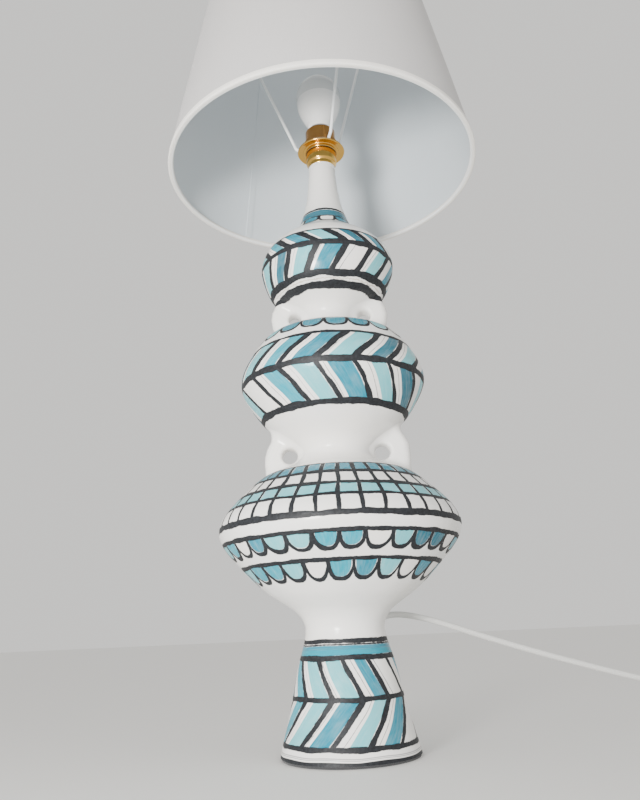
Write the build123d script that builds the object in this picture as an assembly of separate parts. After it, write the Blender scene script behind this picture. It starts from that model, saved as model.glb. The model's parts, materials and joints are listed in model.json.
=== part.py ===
"""Tall table lamp: a thrown and luted ceramic stem with lug handles, a brass bayonet
lampholder, a push-in bulb, a drum shade on a wire carrier, and a mains lead with an
in-line rocker switch and a two-pin plug.

Units are millimetres.  +Z is up and the origin is the centre of the felt under the foot.
Heights of the ceramic are absolute; everything above it is stacked from its top.
Angles round the lamp are measured from the front (-Y) towards the right (+X).
"""
from build123d import *
import math
import os

os.makedirs("parts", exist_ok=True)

# ---------------------------------------------------------------- driving dimensions
# Ceramic stem: radius at height, section by section, from the foot up.
WALL = 5.0
FELT_T = 1.5
FOOT_R = 55.5
WAIST_R = 32.2
WAIST_Z = 98.0
LOWER_BULB_R = 102.2
LOWER_BULB_Z = 175.0
LOWER_NECK_R = 30.2
LOWER_NECK_Z = 240.0
MIDDLE_BULB_R = 82.3
MIDDLE_BULB_Z = 304.0
UPPER_NECK_R = 22.8
UPPER_NECK_Z = 366.0
UPPER_BULB_R = 62.2
UPPER_BULB_Z = 418.0
COLLAR_R = 21.0
COLLAR_RISE = 57.5
STEM_TOP_R = 12.6
STEM_TOP_Z = 530.0
FLOOR_T = 6.0

# Lug handles, two at each neck, left and right.
LUG_T = 17.0
LUG_ROUND = 7.0
LOWER_LUG_R = 64.8
LOWER_LUG_HOLE_R = 6.6
UPPER_LUG_R = 54.2
UPPER_LUG_HOLE_R = 5.6
LUG_HOLE_GAP = 3.6

# Hollow stem tube and what clamps it.
TUBE_R = 5.0
TUBE_BORE_R = 3.7
TUBE_TAIL = 12.0
FIT = 0.15
RUN = 0.06
WASHER_R = 13.0
WASHER_T = 2.0
NUT_R = 8.6
NUT_T = 6.0
NECK_CAP_T = 2.4
NECK_CAP_R = 13.2
LOCK_NUT_T = 3.0

# Lampholder.
SKIRT_R = 15.0
SKIRT_H = 17.0
SHELL_T = 1.0
HOLDER_R = 14.8
HOLDER_H = 25.0
HOLDER_REST_R = 23.0
HOLDER_REST_T = 1.6
SHADE_RING_R = 18.6
SHADE_RING_T = 2.0
SHADE_RING_COLLAR_T = 1.9
SHADE_RING_H = 7.5
CARRIER_T = 1.2
CARRIER_R = 21.5

# Bulb.
CAP_R = 11.0
CAP_H = 25.0
CAP_SHELL_T = 0.6
BAYONET_PIN_R = 1.0
BAYONET_PIN_REACH = 2.2
BAYONET_PIN_RISE = 6.5
BULB_DEPTH = 15.0
PUSH_TRAVEL = 1.5
LOCK_LIP = 0.8
BAYONET_TURN = 16.0
BULB_SHELL_H = 28.0
BULB_R = 22.5
BULB_WALL = 1.2

# Contact plungers under the bulb.
PLUNGER_OFFSET = 4.2
PLUNGER_R = 1.9
PLUNGER_STEM_R = 1.1
PLUNGER_HEAD_H = 3.5
PLUNGER_STEM_H = 8.5
SPRING_WIRE_R = 0.2
SPRING_TURNS = 4
CORE_H = 9.0
TERMINAL_SCREW_R = 1.2
TERMINAL_HEAD_R = 2.1
TERMINAL_OFFSET = 7.5

# Drum shade.
SHADE_BOTTOM_R = 150.0
SHADE_TOP_R = 105.0
SHADE_H = 235.0
SHADE_DROP = 5.7
SHADE_T = 0.9
RING_WIRE_R = 1.6
TAPE_T = 0.5
TAPE_H = 6.0
ARM_WIRE_R = 1.5
ARM_ANGLES = (25.0, 145.0, 265.0)
ARM_FOOT_RISE = 3.5
ARM_FOOT_REACH = 3.5

# Mains lead.
CORD_D = 5.5
EXIT_Z = 90.0
EXIT_ANGLE = 150.0
EXIT_TILT = 25.0
GROMMET_R = 4.6
GROMMET_FLANGE_R = 6.6
GROMMET_FLANGE_T = 1.6
GROMMET_PROUD = 3.3
LEAD_CLEAR = 20.0

# In-line switch, lying on the table.
SWITCH_L = 60.0
SWITCH_W = 26.0
SWITCH_H = 20.0
SWITCH_SPLIT_Z = 9.5
SWITCH_WALL = 2.0
SWITCH_ROUND = 6.0
SWITCH_SHUT = 0.2
SCREW_R = 1.4
SCREW_HEAD_R = 2.4
SCREW_HEAD_Z = 0.2
SCREW_HEAD_T = 1.0
SCREW_TOP_Z = 12.0
ROCKER_L = 19.0
ROCKER_W = 10.0
ROCKER_H = 7.0
ROCKER_GAP = 0.45
ROCKER_TILT = 7.0
ROCKER_PIN_R = 1.2

# Two-pin plug, lying on its side.
PLUG_L = 35.0
PLUG_W = 34.0
PLUG_TAIL_W = 15.0
PLUG_T = 13.7
PLUG_PIN_R = 2.0
PLUG_PIN_L = 19.0
PLUG_PIN_PITCH = 18.6
PLUG_SLEEVE_L = 22.0

# Route of the lead: from the grommet to the switch, on to the coil, and to the plug.
SWITCH_X = 404.0
SWITCH_Y = 101.0
CORD_THROUGH_Z = 10.5
LEAD_POINTS = [
    (47.0, 67.0, 106.0), (78.0, 77.0, 99.5), (122.0, 86.0, 84.0), (172.0, 91.5, 67.5),
    (222.0, 95.0, 52.5), (270.0, 98.5, 39.0), (316.0, 100.0, 27.5), (356.0, 101.5, 18.0),
    (387.0, 101.0, 12.0), (SWITCH_X, SWITCH_Y, CORD_THROUGH_Z),
]
COIL_X = 473.0
COIL_Y = 38.0
COIL_MID_R = 30.2
COIL_OUTER_R = COIL_MID_R + CORD_D
COIL_ROWS = 3
COIL_LAYERS = 2
COIL_LAYER_RISE = 5.15
UPPER_LAYER_Z = CORD_D / 2 + COIL_LAYER_RISE
LINK_POINTS = [
    (SWITCH_X + SWITCH_L, SWITCH_Y, CORD_THROUGH_Z), (480.0, 99.5, 9.9), (494.0, 91.5, 9.1),
    (503.5, 77.0, 8.5), (508.2, 61.0, 8.1), (COIL_X + COIL_OUTER_R, 47.0, UPPER_LAYER_Z),
]
PLUG_X = 506.0
PLUG_BACK_Y = -9.0
TAIL_POINTS = [
    (COIL_X + COIL_OUTER_R, 27.0, CORD_D / 2), (507.6, 15.0, 3.9),
    (PLUG_X, PLUG_BACK_Y + 12.0, PLUG_T / 2), (PLUG_X, PLUG_BACK_Y, PLUG_T / 2),
]

# ---------------------------------------------------------------- stacked heights
COLLAR_Z = UPPER_BULB_Z + COLLAR_RISE
TOP_NECK_H = STEM_TOP_Z - COLLAR_Z
FLOOR_Z = WAIST_Z
TUBE_BOTTOM = FLOOR_Z - WASHER_T - NUT_T - 4.0
SKIRT_Z = STEM_TOP_Z + NECK_CAP_T
SKIRT_FLOOR_Z = SKIRT_Z + 5.5
HOLDER_Z = SKIRT_Z + SKIRT_H
REST_Z = HOLDER_Z + 2.0
CARRIER_Z = REST_Z + HOLDER_REST_T + RUN
RING_Z = CARRIER_Z + CARRIER_T + RUN
HOLDER_TOP = HOLDER_Z + HOLDER_H
CAP_Z = HOLDER_TOP - BULB_DEPTH
CORE_Z = CAP_Z - PUSH_TRAVEL - 1.0 - CORE_H
BAYONET_PIN_Z = CAP_Z + BAYONET_PIN_RISE
BULB_SHELL_Z = CAP_Z + CAP_H
DOME_Z = BULB_SHELL_Z + BULB_SHELL_H
TUBE_TOP = SKIRT_Z + TUBE_TAIL
SHADE_RIM_Z = STEM_TOP_Z - SHADE_DROP
SHADE_TOP_Z = SHADE_RIM_Z + SHADE_H


# ---------------------------------------------------------------- helpers
def turned(corners):
    """Solid of revolution of a closed polygon of (radius, height) corners."""
    return revolve(make_face(Polyline(*[(r, 0, z) for r, z in corners], close=True)), Axis.Z)


def tube_of(outer_r, inner_r, low, high):
    """Plain ring or tube standing on the Z axis."""
    return turned([(inner_r, low), (outer_r, low), (outer_r, high), (inner_r, high)])


def disc_of(radius, low, high):
    """Plain disc standing on the Z axis."""
    return Pos(0, 0, (low + high) / 2) * Cylinder(radius, high - low)


def round_the_axis(angle, radius, height=0.0):
    """Point at an angle from the front, a radius from the axis and a height."""
    turn = math.radians(angle)
    return (radius * math.sin(turn), -radius * math.cos(turn), height)


def inset(points, depth):
    """The outline moved inwards by a wall; its two ends move level."""
    moved = [(points[0][0] - depth, points[0][1])]
    for before, here, after in zip(points, points[1:], points[2:]):
        run = math.dist(before, after)
        out_r = (after[1] - before[1]) / run
        out_z = -(after[0] - before[0]) / run
        moved.append((here[0] - depth * out_r, here[1] - depth * out_z))
    moved.append((points[-1][0] - depth, points[-1][1]))
    return moved


def smooth(points):
    """Spline through (radius, height) points, in the plane of revolution."""
    return Spline(*[(r, 0, z) for r, z in points])


def thrown(points):
    """Thrown ceramic section: a wall of even thickness that follows its outline."""
    outer = smooth(points)
    inner = smooth(inset(points, WALL))
    edges = [outer, Line(outer @ 1, inner @ 1), inner, Line(inner @ 0, outer @ 0)]
    return revolve(make_face(Wire(edges)), Axis.Z)


def filled(points):
    """The same section without its hollow, to cut what is luted onto it."""
    outer = smooth(points)
    low = (0, 0, points[0][1])
    high = (0, 0, points[-1][1])
    edges = [outer, Line(outer @ 1, high), Line(high, low), Line(low, outer @ 0)]
    return revolve(make_face(Wire(edges)), Axis.Z)


def route_radii(points):
    """Largest tangent arc at each corner that its two runs allow."""
    radii = []
    for before, here, after in zip(points, points[1:], points[2:]):
        run_in = Vector(*here) - Vector(*before)
        run_out = Vector(*after) - Vector(*here)
        half_turn = math.radians(run_in.get_angle(run_out)) / 2
        radii.append(0.45 * min(run_in.length, run_out.length) / math.tan(half_turn))
    return radii


def cord_along(points, label):
    """Round cord along straight runs and tangent arcs."""
    radii = route_radii(points)
    path = FilletPolyline(*points, radius=radii)
    section = Plane(origin=path @ 0, z_dir=path % 0) * Circle(CORD_D / 2)
    cord = sweep(section, path=path)
    expected = path.length * math.pi * CORD_D ** 2 / 4
    print(label, "length", round(path.length, 1), "radii", [round(r, 1) for r in radii],
          "volume ratio", round(cord.volume / expected, 4))
    return cord


# ---------------------------------------------------------------- ceramic stem
FOOT_LINE = [
    (FOOT_R, FELT_T), (FOOT_R - 2.9, 12.0), (FOOT_R - 11.4, 44.5), (FOOT_R - 18.0, 73.0),
    (WAIST_R + 0.6, 89.0), (WAIST_R, WAIST_Z),
]
LOWER_LINE = [
    (WAIST_R, WAIST_Z), (WAIST_R + 5.0, WAIST_Z + 9.0), (WAIST_R + 20.7, WAIST_Z + 20.0),
    (LOWER_BULB_R - 29.0, LOWER_BULB_Z - 40.5), (LOWER_BULB_R - 13.8, LOWER_BULB_Z - 24.5),
    (LOWER_BULB_R - 2.6, LOWER_BULB_Z - 10.0), (LOWER_BULB_R, LOWER_BULB_Z),
    (LOWER_BULB_R - 6.7, LOWER_BULB_Z + 15.0), (LOWER_BULB_R - 26.5, LOWER_BULB_Z + 35.0),
    (LOWER_BULB_R - 38.0, LOWER_BULB_Z + 44.5), (LOWER_NECK_R + 9.0, LOWER_NECK_Z - 10.5),
    (LOWER_NECK_R, LOWER_NECK_Z),
]
MIDDLE_LINE = [
    (LOWER_NECK_R, LOWER_NECK_Z), (LOWER_NECK_R + 4.5, LOWER_NECK_Z + 7.0),
    (LOWER_NECK_R + 17.5, LOWER_NECK_Z + 17.0), (MIDDLE_BULB_R - 20.3, MIDDLE_BULB_Z - 36.0),
    (MIDDLE_BULB_R - 9.2, MIDDLE_BULB_Z - 21.0), (MIDDLE_BULB_R - 2.2, MIDDLE_BULB_Z - 9.0),
    (MIDDLE_BULB_R, MIDDLE_BULB_Z), (MIDDLE_BULB_R - 3.6, MIDDLE_BULB_Z + 14.0),
    (MIDDLE_BULB_R - 11.0, MIDDLE_BULB_Z + 27.0), (MIDDLE_BULB_R - 25.3, MIDDLE_BULB_Z + 43.3),
    (UPPER_NECK_R + 9.5, UPPER_NECK_Z - 11.0), (UPPER_NECK_R, UPPER_NECK_Z),
]
UPPER_LINE = [
    (UPPER_NECK_R, UPPER_NECK_Z), (UPPER_NECK_R + 3.5, UPPER_NECK_Z + 8.0),
    (UPPER_BULB_R - 21.0, UPPER_BULB_Z - 35.5), (UPPER_BULB_R - 9.5, UPPER_BULB_Z - 27.0),
    (UPPER_BULB_R - 2.8, UPPER_BULB_Z - 12.0), (UPPER_BULB_R, UPPER_BULB_Z),
    (UPPER_BULB_R - 3.4, UPPER_BULB_Z + 12.0), (UPPER_BULB_R - 9.0, UPPER_BULB_Z + 20.3),
    (UPPER_BULB_R - 16.7, UPPER_BULB_Z + 27.5), (UPPER_BULB_R - 26.0, UPPER_BULB_Z + 33.6),
    (COLLAR_R + 7.6, COLLAR_Z - 17.3), (COLLAR_R + 3.3, COLLAR_Z - 9.5), (COLLAR_R, COLLAR_Z),
]
TOP_LINE = [
    (COLLAR_R, COLLAR_Z), (COLLAR_R - 3.7, COLLAR_Z + 0.27 * TOP_NECK_H),
    (STEM_TOP_R + 1.9, COLLAR_Z + 0.62 * TOP_NECK_H), (STEM_TOP_R, STEM_TOP_Z),
]


def exit_axis(reach):
    """Plane across the cord's way out, at a reach from the axis of the lamp."""
    lean = math.radians(EXIT_TILT)
    height = EXIT_Z + (reach - WAIST_R) * math.tan(lean)
    out = round_the_axis(EXIT_ANGLE, math.cos(lean), math.sin(lean))
    return Plane(origin=round_the_axis(EXIT_ANGLE, reach, height), z_dir=out)


def along_exit(radius, start, end):
    """Round rod along the cord's way out, between two reaches."""
    length = (end - start) / math.cos(math.radians(EXIT_TILT))
    return extrude(exit_axis(start) * Circle(radius), length)


def make_foot():
    return thrown(FOOT_LINE) - along_exit(GROMMET_R + FIT, WAIST_R - 2 * WALL, WAIST_R + 2 * WALL)


def make_lower_bulb():
    floor = disc_of(WAIST_R - WALL + 1.0, FLOOR_Z, FLOOR_Z + FLOOR_T)
    return thrown(LOWER_LINE) + floor - disc_of(TUBE_R + FIT, FLOOR_Z, FLOOR_Z + FLOOR_T)


def make_top_neck():
    """Slender top of the stem, closed but for the tube's hole."""
    crown = disc_of(STEM_TOP_R - 1.0, STEM_TOP_Z - FLOOR_T, STEM_TOP_Z)
    hole = disc_of(TUBE_R + FIT, STEM_TOP_Z - FLOOR_T, STEM_TOP_Z)
    return thrown(TOP_LINE) + crown - hole


def make_lug(side, outer_r, hole_r, neck_r, neck_z, low, high, sections):
    """Round-edged clay lug that bridges a neck, with a finger hole beside the neck."""
    width = outer_r
    outline = Spline(
        (0, 0, low), (0.72 * width, 0, low), (0.985 * width, 0, low + 0.17 * (high - low)),
        (width, 0, low + 0.42 * (high - low)), (0.93 * width, 0, low + 0.76 * (high - low)),
        (0.80 * width, 0, high), (0, 0, high))
    face = make_face(Wire([outline, Line((0, 0, high), (0, 0, low))]))
    plate = extrude(face, LUG_T / 2, both=True)
    rims = [edge for edge in plate.edges() if edge.length > 2 * width]
    plate = fillet(rims, LUG_ROUND)
    hole_x = neck_r + LUG_HOLE_GAP + hole_r
    hole = Pos(hole_x, 0, neck_z) * Rot(90, 0, 0) * Cylinder(hole_r, 2 * LUG_T)
    lug = plate - hole
    for section in sections:
        lug = lug - filled(section)
    lug = max(lug.solids(), key=lambda solid: solid.volume)
    return lug if side > 0 else mirror(lug, Plane.YZ)


def lower_lug(side):
    return make_lug(side, LOWER_LUG_R, LOWER_LUG_HOLE_R, LOWER_NECK_R, LOWER_NECK_Z - 0.5,
                    LOWER_BULB_Z + 40.0, MIDDLE_BULB_Z - 40.0, [LOWER_LINE, MIDDLE_LINE])


def upper_lug(side):
    return make_lug(side, UPPER_LUG_R, UPPER_LUG_HOLE_R, UPPER_NECK_R, UPPER_NECK_Z + 2.0,
                    MIDDLE_BULB_Z + 41.0, UPPER_BULB_Z - 27.0, [MIDDLE_LINE, UPPER_LINE])


# ---------------------------------------------------------------- stem tube and clamps
def make_hex(across_r, low, high):
    """Hexagon nut with a clearance bore for the stem tube."""
    nut = extrude(Plane.XY.offset(low) * RegularPolygon(across_r, 6), high - low)
    return nut - disc_of(TUBE_R + FIT / 2, low, high)


def make_grommet():
    """Flanged sleeve that lines the cord's way out of the foot."""
    seat = WAIST_R + GROMMET_PROUD
    sleeve = along_exit(GROMMET_R, WAIST_R - WALL - 1.0, seat)
    flange = along_exit(GROMMET_FLANGE_R, seat, seat + GROMMET_FLANGE_T)
    bore = along_exit(CORD_D / 2 + FIT / 3, WAIST_R - 2 * WALL, seat + 2 * GROMMET_FLANGE_T)
    return sleeve + flange - bore


def make_inner_cord():
    """Cord inside the lamp: down the stem tube, round in the foot and out at the grommet."""
    mouth = exit_axis(WAIST_R + GROMMET_PROUD + GROMMET_FLANGE_T)
    inside = exit_axis(WAIST_R - 15.0)
    drop = EXIT_Z - 38.0
    across = round_the_axis(EXIT_ANGLE, 15.0, drop)
    points = [(0, 0, TUBE_TOP + 1.5), (0, 0, drop), across,
              tuple(inside.origin), tuple(mouth.origin)]
    return cord_along(points, "inner_cord")


# ---------------------------------------------------------------- lampholder
def make_skirt():
    """Lower cap of the lampholder, screwed onto the stem tube."""
    return turned([
        (TUBE_R + FIT, SKIRT_Z), (SKIRT_R - 3.5, SKIRT_Z), (SKIRT_R - 0.8, SKIRT_Z + 2.5),
        (SKIRT_R, SKIRT_FLOOR_Z), (SKIRT_R, HOLDER_Z - RUN),
        (SKIRT_R - SHELL_T, HOLDER_Z - RUN), (SKIRT_R - SHELL_T, SKIRT_FLOOR_Z),
        (TUBE_R + FIT, SKIRT_FLOOR_Z),
    ])


def bayonet_slot(turn):
    """J-shaped track for one bulb pin: down from the rim, across, and up into a pocket."""
    reach = CAP_R + BAYONET_PIN_REACH + 0.3
    half = BAYONET_PIN_R + 0.25
    low = BAYONET_PIN_Z - PUSH_TRAVEL - half
    lane = Pos(reach / 2 + 4.0, 0, (low + HOLDER_TOP) / 2)
    lane = lane * Box(reach - 8.0, 2 * half, HOLDER_TOP - low)
    lane = Rot(0, 0, -BAYONET_TURN) * lane
    sector = revolve(Plane.XZ * Pos(8.0, low) * Rectangle(
        reach - 8.0, BAYONET_PIN_Z + half - LOCK_LIP - low,
        align=(Align.MIN, Align.MIN)), Axis.Z, BAYONET_TURN)
    sector = Rot(0, 0, -BAYONET_TURN) * sector
    pocket = Pos(reach / 2 + 4.0, 0, (low + BAYONET_PIN_Z + BAYONET_PIN_R + RUN) / 2)
    pocket = pocket * Box(reach - 8.0, 2 * half, BAYONET_PIN_Z + BAYONET_PIN_R + RUN - low)
    return Rot(0, 0, turn) * (lane + sector + pocket)


def make_holder_body():
    """Brass sleeve with the shade's rest, a plain stand-in thread and two bayonet tracks."""
    sleeve = tube_of(HOLDER_R, CAP_R + 0.25, HOLDER_Z, HOLDER_TOP)
    rest = tube_of(HOLDER_REST_R, HOLDER_R - 0.5, REST_Z, REST_Z + HOLDER_REST_T)
    return sleeve + rest - bayonet_slot(0) - bayonet_slot(180)


def plunger_places():
    return [Pos(0, PLUNGER_OFFSET, 0), Pos(0, -PLUNGER_OFFSET, 0)]


def terminal_places():
    return [Pos(TERMINAL_OFFSET, 0, CORE_Z), Pos(-TERMINAL_OFFSET, 0, CORE_Z)]


def make_core():
    """Moulded insulator that holds the two sprung contacts and their terminals."""
    core = disc_of(CAP_R + 0.1, CORE_Z, CORE_Z + CORE_H)
    for place in terminal_places():
        core = core - place * disc_of(TERMINAL_SCREW_R + 0.05, 0, 4.2)
    for place in plunger_places():
        core = core - place * disc_of(PLUNGER_R + 0.1, CORE_Z + 3.0, CORE_Z + CORE_H)
        core = core - place * disc_of(PLUNGER_STEM_R + 0.1, CORE_Z, CORE_Z + 3.0)
    return core


def make_core_sleeve():
    """Insulating sleeve that stands on the skirt's floor and carries the core."""
    outer_r = SKIRT_R - SHELL_T - FIT
    return tube_of(outer_r, TERMINAL_OFFSET + TERMINAL_HEAD_R + 0.3, SKIRT_FLOOR_Z, CORE_Z)


PLUNGER_TOP = CAP_Z - 1.0
PLUNGER_SHOULDER = PLUNGER_TOP - PLUNGER_HEAD_H


def make_plunger(place):
    head = disc_of(PLUNGER_R, PLUNGER_SHOULDER, PLUNGER_TOP)
    stem = disc_of(PLUNGER_STEM_R, PLUNGER_SHOULDER - PLUNGER_STEM_H, PLUNGER_SHOULDER)
    return place * (head + stem)


def make_spring(place):
    """Coil spring round a plunger's stem, from the core's floor to the plunger's shoulder."""
    low = CORE_Z + 3.0 + 2 * SPRING_WIRE_R
    high = PLUNGER_SHOULDER - 2 * SPRING_WIRE_R
    pitch = (high - low) / SPRING_TURNS
    radius = (PLUNGER_R + PLUNGER_STEM_R) / 2
    path = Pos(0, 0, low) * Helix(pitch, high - low, radius)
    section = Plane(origin=path @ 0, z_dir=path % 0) * Circle(SPRING_WIRE_R)
    return place * sweep(section, path=path)


def make_terminal_screws():
    """Two terminal screws in the underside of the core."""
    screw = disc_of(TERMINAL_HEAD_R, -1.2, 0) + disc_of(TERMINAL_SCREW_R, 0, 4.0)
    return Compound(children=[(place * screw).solid() for place in terminal_places()])


def make_shade_ring():
    """Threaded ring that clamps the shade's carrier against the holder's rest."""
    bore = HOLDER_R + RUN
    collar = bore + SHADE_RING_COLLAR_T
    return turned([
        (bore, RING_Z), (SHADE_RING_R, RING_Z), (SHADE_RING_R, RING_Z + SHADE_RING_T),
        (collar, RING_Z + SHADE_RING_T), (collar, RING_Z + SHADE_RING_H),
        (bore, RING_Z + SHADE_RING_H),
    ])


# ---------------------------------------------------------------- bulb
def make_bulb_cap():
    """Drawn brass cap with its two bayonet pins."""
    cap = tube_of(CAP_R, CAP_R - CAP_SHELL_T, CAP_Z, BULB_SHELL_Z)
    for turn in (0, 180):
        pin = Pos(CAP_R - CAP_SHELL_T / 2 + BAYONET_PIN_REACH / 2, 0, BAYONET_PIN_Z)
        pin = pin * Rot(0, 90, 0) * Cylinder(BAYONET_PIN_R, BAYONET_PIN_REACH + CAP_SHELL_T)
        cap = cap + Rot(0, 0, turn) * pin
    return cap


def make_cap_disc():
    """Insulating disc that closes the bottom of the bulb's cap."""
    return disc_of(CAP_R - CAP_SHELL_T - 0.02, CAP_Z, CAP_Z + 3.0)


def make_cap_contacts():
    """Two solder pads under the cap's disc, over the plungers."""
    pads = [place * disc_of(2.0, CAP_Z - 0.7, CAP_Z) for place in plunger_places()]
    return Compound(children=[pad.solid() for pad in pads])


def make_bulb_shell():
    """Conical moulded body between the cap and the dome, its neck crimped in the cap."""
    neck_r = CAP_R - CAP_SHELL_T - 0.05
    outer = [(neck_r, BULB_SHELL_Z - 6.0), (neck_r, BULB_SHELL_Z), (CAP_R + 0.8, BULB_SHELL_Z),
             (CAP_R + 3.2, BULB_SHELL_Z + 6.0), (BULB_R - 1.6, DOME_Z - 6.0),
             (BULB_R - 0.3, DOME_Z)]
    inner = [(neck_r - BULB_WALL, BULB_SHELL_Z - 6.0), (neck_r - BULB_WALL, BULB_SHELL_Z + 1.0),
             (CAP_R + 3.2 - BULB_WALL, BULB_SHELL_Z + 6.5),
             (BULB_R - 1.6 - BULB_WALL, DOME_Z - 6.0), (BULB_R - 0.3 - BULB_WALL, DOME_Z)]
    return turned(outer + inner[::-1])


def make_dome():
    """Opal dome: a little more than half a ball, with a thin wall."""
    centre = DOME_Z + 6.0
    ball = Pos(0, 0, centre) * (Sphere(BULB_R) - Sphere(BULB_R - BULB_WALL))
    keep = disc_of(2 * BULB_R, DOME_Z, centre + 2 * BULB_R)
    return ball & keep


def make_light_board():
    """Round board with its emitters, seated inside the top of the bulb's body."""
    return disc_of(BULB_R - 2.2, DOME_Z - 1.6, DOME_Z)


# ---------------------------------------------------------------- shade
def shade_r(height):
    """Outer radius of the shade's cover at a height."""
    share = (height - SHADE_RIM_Z) / SHADE_H
    return SHADE_BOTTOM_R + share * (SHADE_TOP_R - SHADE_BOTTOM_R)


def cone_band(gap, thick, low, high):
    """Conical band at a gap inside the cover's outer face."""
    return turned([
        (shade_r(low) - gap - thick, low), (shade_r(low) - gap, low),
        (shade_r(high) - gap, high), (shade_r(high) - gap - thick, high),
    ])


def make_wire_ring(height):
    """Round wire hoop that the cover is rolled onto."""
    hoop_r = shade_r(height) - SHADE_T - RING_WIRE_R - 0.15
    return Pos(0, 0, height) * Torus(hoop_r, RING_WIRE_R)


def make_edge_tape(low, high):
    """Narrow tape folded round one edge of the cover, outside and inside."""
    return cone_band(-TAPE_T - 0.02, TAPE_T, low, high)


def make_carrier_ring():
    return tube_of(CARRIER_R, HOLDER_R + 0.3, CARRIER_Z, CARRIER_Z + CARRIER_T)


def make_arms():
    """Three wires from the carrier ring up to the top hoop."""
    hoop_z = SHADE_TOP_Z - RING_WIRE_R
    hoop_r = shade_r(hoop_z) - SHADE_T - 2 * RING_WIRE_R - 0.15
    low_z = CARRIER_Z + CARRIER_T + ARM_WIRE_R
    arms = []
    for angle in ARM_ANGLES:
        points = [
            round_the_axis(angle, CARRIER_R - ARM_WIRE_R, low_z),
            round_the_axis(angle, CARRIER_R + ARM_FOOT_REACH, low_z + ARM_FOOT_RISE),
            round_the_axis(angle, hoop_r - ARM_WIRE_R, hoop_z),
        ]
        path = FilletPolyline(*points, radius=3.0)
        section = Plane(origin=path @ 0, z_dir=path % 0) * Circle(ARM_WIRE_R)
        arms.append(sweep(section, path=path).solid())
    return Compound(children=arms)


# ---------------------------------------------------------------- switch, coil and plug
SWITCH_CENTRE_X = SWITCH_X + SWITCH_L / 2


def rounded_slab(width, low, high):
    """Pill-shaped slab centred on the switch."""
    outline = RectangleRounded(SWITCH_L - 2 * (SWITCH_W - width) / 2, width,
                               min(SWITCH_ROUND, width / 2 - 0.5))
    return extrude(Plane((SWITCH_CENTRE_X, SWITCH_Y, low)) * outline, high - low)


def cord_ways():
    """Two holes in the switch's ends for the cord."""
    bore = Pos(SWITCH_CENTRE_X, SWITCH_Y, CORD_THROUGH_Z) * Rot(0, 90, 0)
    return bore * Cylinder(CORD_D / 2 + FIT, SWITCH_L + 2.0)


def switch_screw_places():
    reach = SWITCH_L / 2 - 12.0
    return [Pos(SWITCH_CENTRE_X + side * reach, SWITCH_Y - 7.0, 0) for side in (1, -1)]


def make_switch_base():
    shell = rounded_slab(SWITCH_W, 0, SWITCH_SPLIT_Z)
    hollow = rounded_slab(SWITCH_W - 2 * SWITCH_WALL, SWITCH_WALL, SWITCH_SPLIT_Z)
    base = fillet((shell - hollow).faces().sort_by(Axis.Z)[0].edges(), 1.2) - cord_ways()
    for place in switch_screw_places():
        base = base - place * disc_of(SCREW_HEAD_R + 0.1, 0, SCREW_HEAD_Z + SCREW_HEAD_T)
        base = base - place * disc_of(SCREW_R + 0.1, 0, SWITCH_WALL)
    return base


def make_switch_cover():
    shell = rounded_slab(SWITCH_W, SWITCH_SPLIT_Z + SWITCH_SHUT, SWITCH_H)
    shell = fillet(shell.faces().sort_by(Axis.Z)[-1].edges(), 3.0)
    hollow = rounded_slab(SWITCH_W - 2 * SWITCH_WALL, SWITCH_SPLIT_Z, SWITCH_H - SWITCH_WALL)
    window = Pos(SWITCH_CENTRE_X, SWITCH_Y, SWITCH_H)
    window = window * Box(ROCKER_L + 2 * ROCKER_GAP, ROCKER_W + 2 * ROCKER_GAP, 3 * SWITCH_WALL)
    cover = shell - hollow - window
    for place in switch_screw_places():
        cover = cover + place * disc_of(SCREW_R + 1.5, SWITCH_WALL + 0.1, SWITCH_H - SWITCH_WALL)
        cover = cover - place * disc_of(SCREW_R + 0.05, 0, SCREW_TOP_Z + 0.5)
    return cover - cord_ways()


ROCKER_PIN_Z = SWITCH_H - SWITCH_WALL - ROCKER_PIN_R - 0.6


def rocker_place():
    return Pos(SWITCH_CENTRE_X, SWITCH_Y, ROCKER_PIN_Z) * Rot(0, ROCKER_TILT, 0)


def make_rocker():
    """Rocker on its pivot pin, resting tipped to one side."""
    cap_half = ROCKER_L / 2 - 0.6
    top = SWITCH_H + 1.2 - ROCKER_PIN_Z
    outline = make_face(Wire([
        Line((-cap_half, 0, 0), (-cap_half, 0, top + 1.2)),
        ThreePointArc((-cap_half, 0, top + 1.2), (0, 0, top - 0.6), (cap_half, 0, top + 1.2)),
        Line((cap_half, 0, top + 1.2), (cap_half, 0, 0)),
        Line((cap_half, 0, 0), (0, 0, -ROCKER_H / 2)),
        Line((0, 0, -ROCKER_H / 2), (-cap_half, 0, 0)),
    ]))
    blade = extrude(outline, (ROCKER_W - 2 * ROCKER_GAP) / 2, both=True)
    pin = Rot(90, 0, 0) * Cylinder(ROCKER_PIN_R, ROCKER_W + 6.0)
    return rocker_place() * (blade + pin)


def make_rocker_cradle():
    """Two lugs on the floor of the switch that carry the rocker's pin."""
    cheeks = []
    for side in (1, -1):
        place = Pos(SWITCH_CENTRE_X, SWITCH_Y + side * (ROCKER_W / 2 + 1.6), 0)
        cheek = place * Pos(0, 0, (SWITCH_WALL + ROCKER_PIN_Z + 1.6) / 2)
        cheek = cheek * Box(8.0, 2.0, ROCKER_PIN_Z + 1.6 - SWITCH_WALL)
        bore = place * Pos(0, 0, ROCKER_PIN_Z) * Rot(90, 0, 0) * Cylinder(ROCKER_PIN_R + RUN, 4.0)
        cheeks.append((cheek - bore).solid())
    return Compound(children=cheeks)


def make_switch_screws():
    """Two screws from below that close the switch."""
    head_top = SCREW_HEAD_Z + SCREW_HEAD_T
    screw = disc_of(SCREW_HEAD_R, SCREW_HEAD_Z, head_top) + disc_of(SCREW_R, head_top, SCREW_TOP_Z)
    return Compound(children=[(place * screw).solid() for place in switch_screw_places()])


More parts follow.
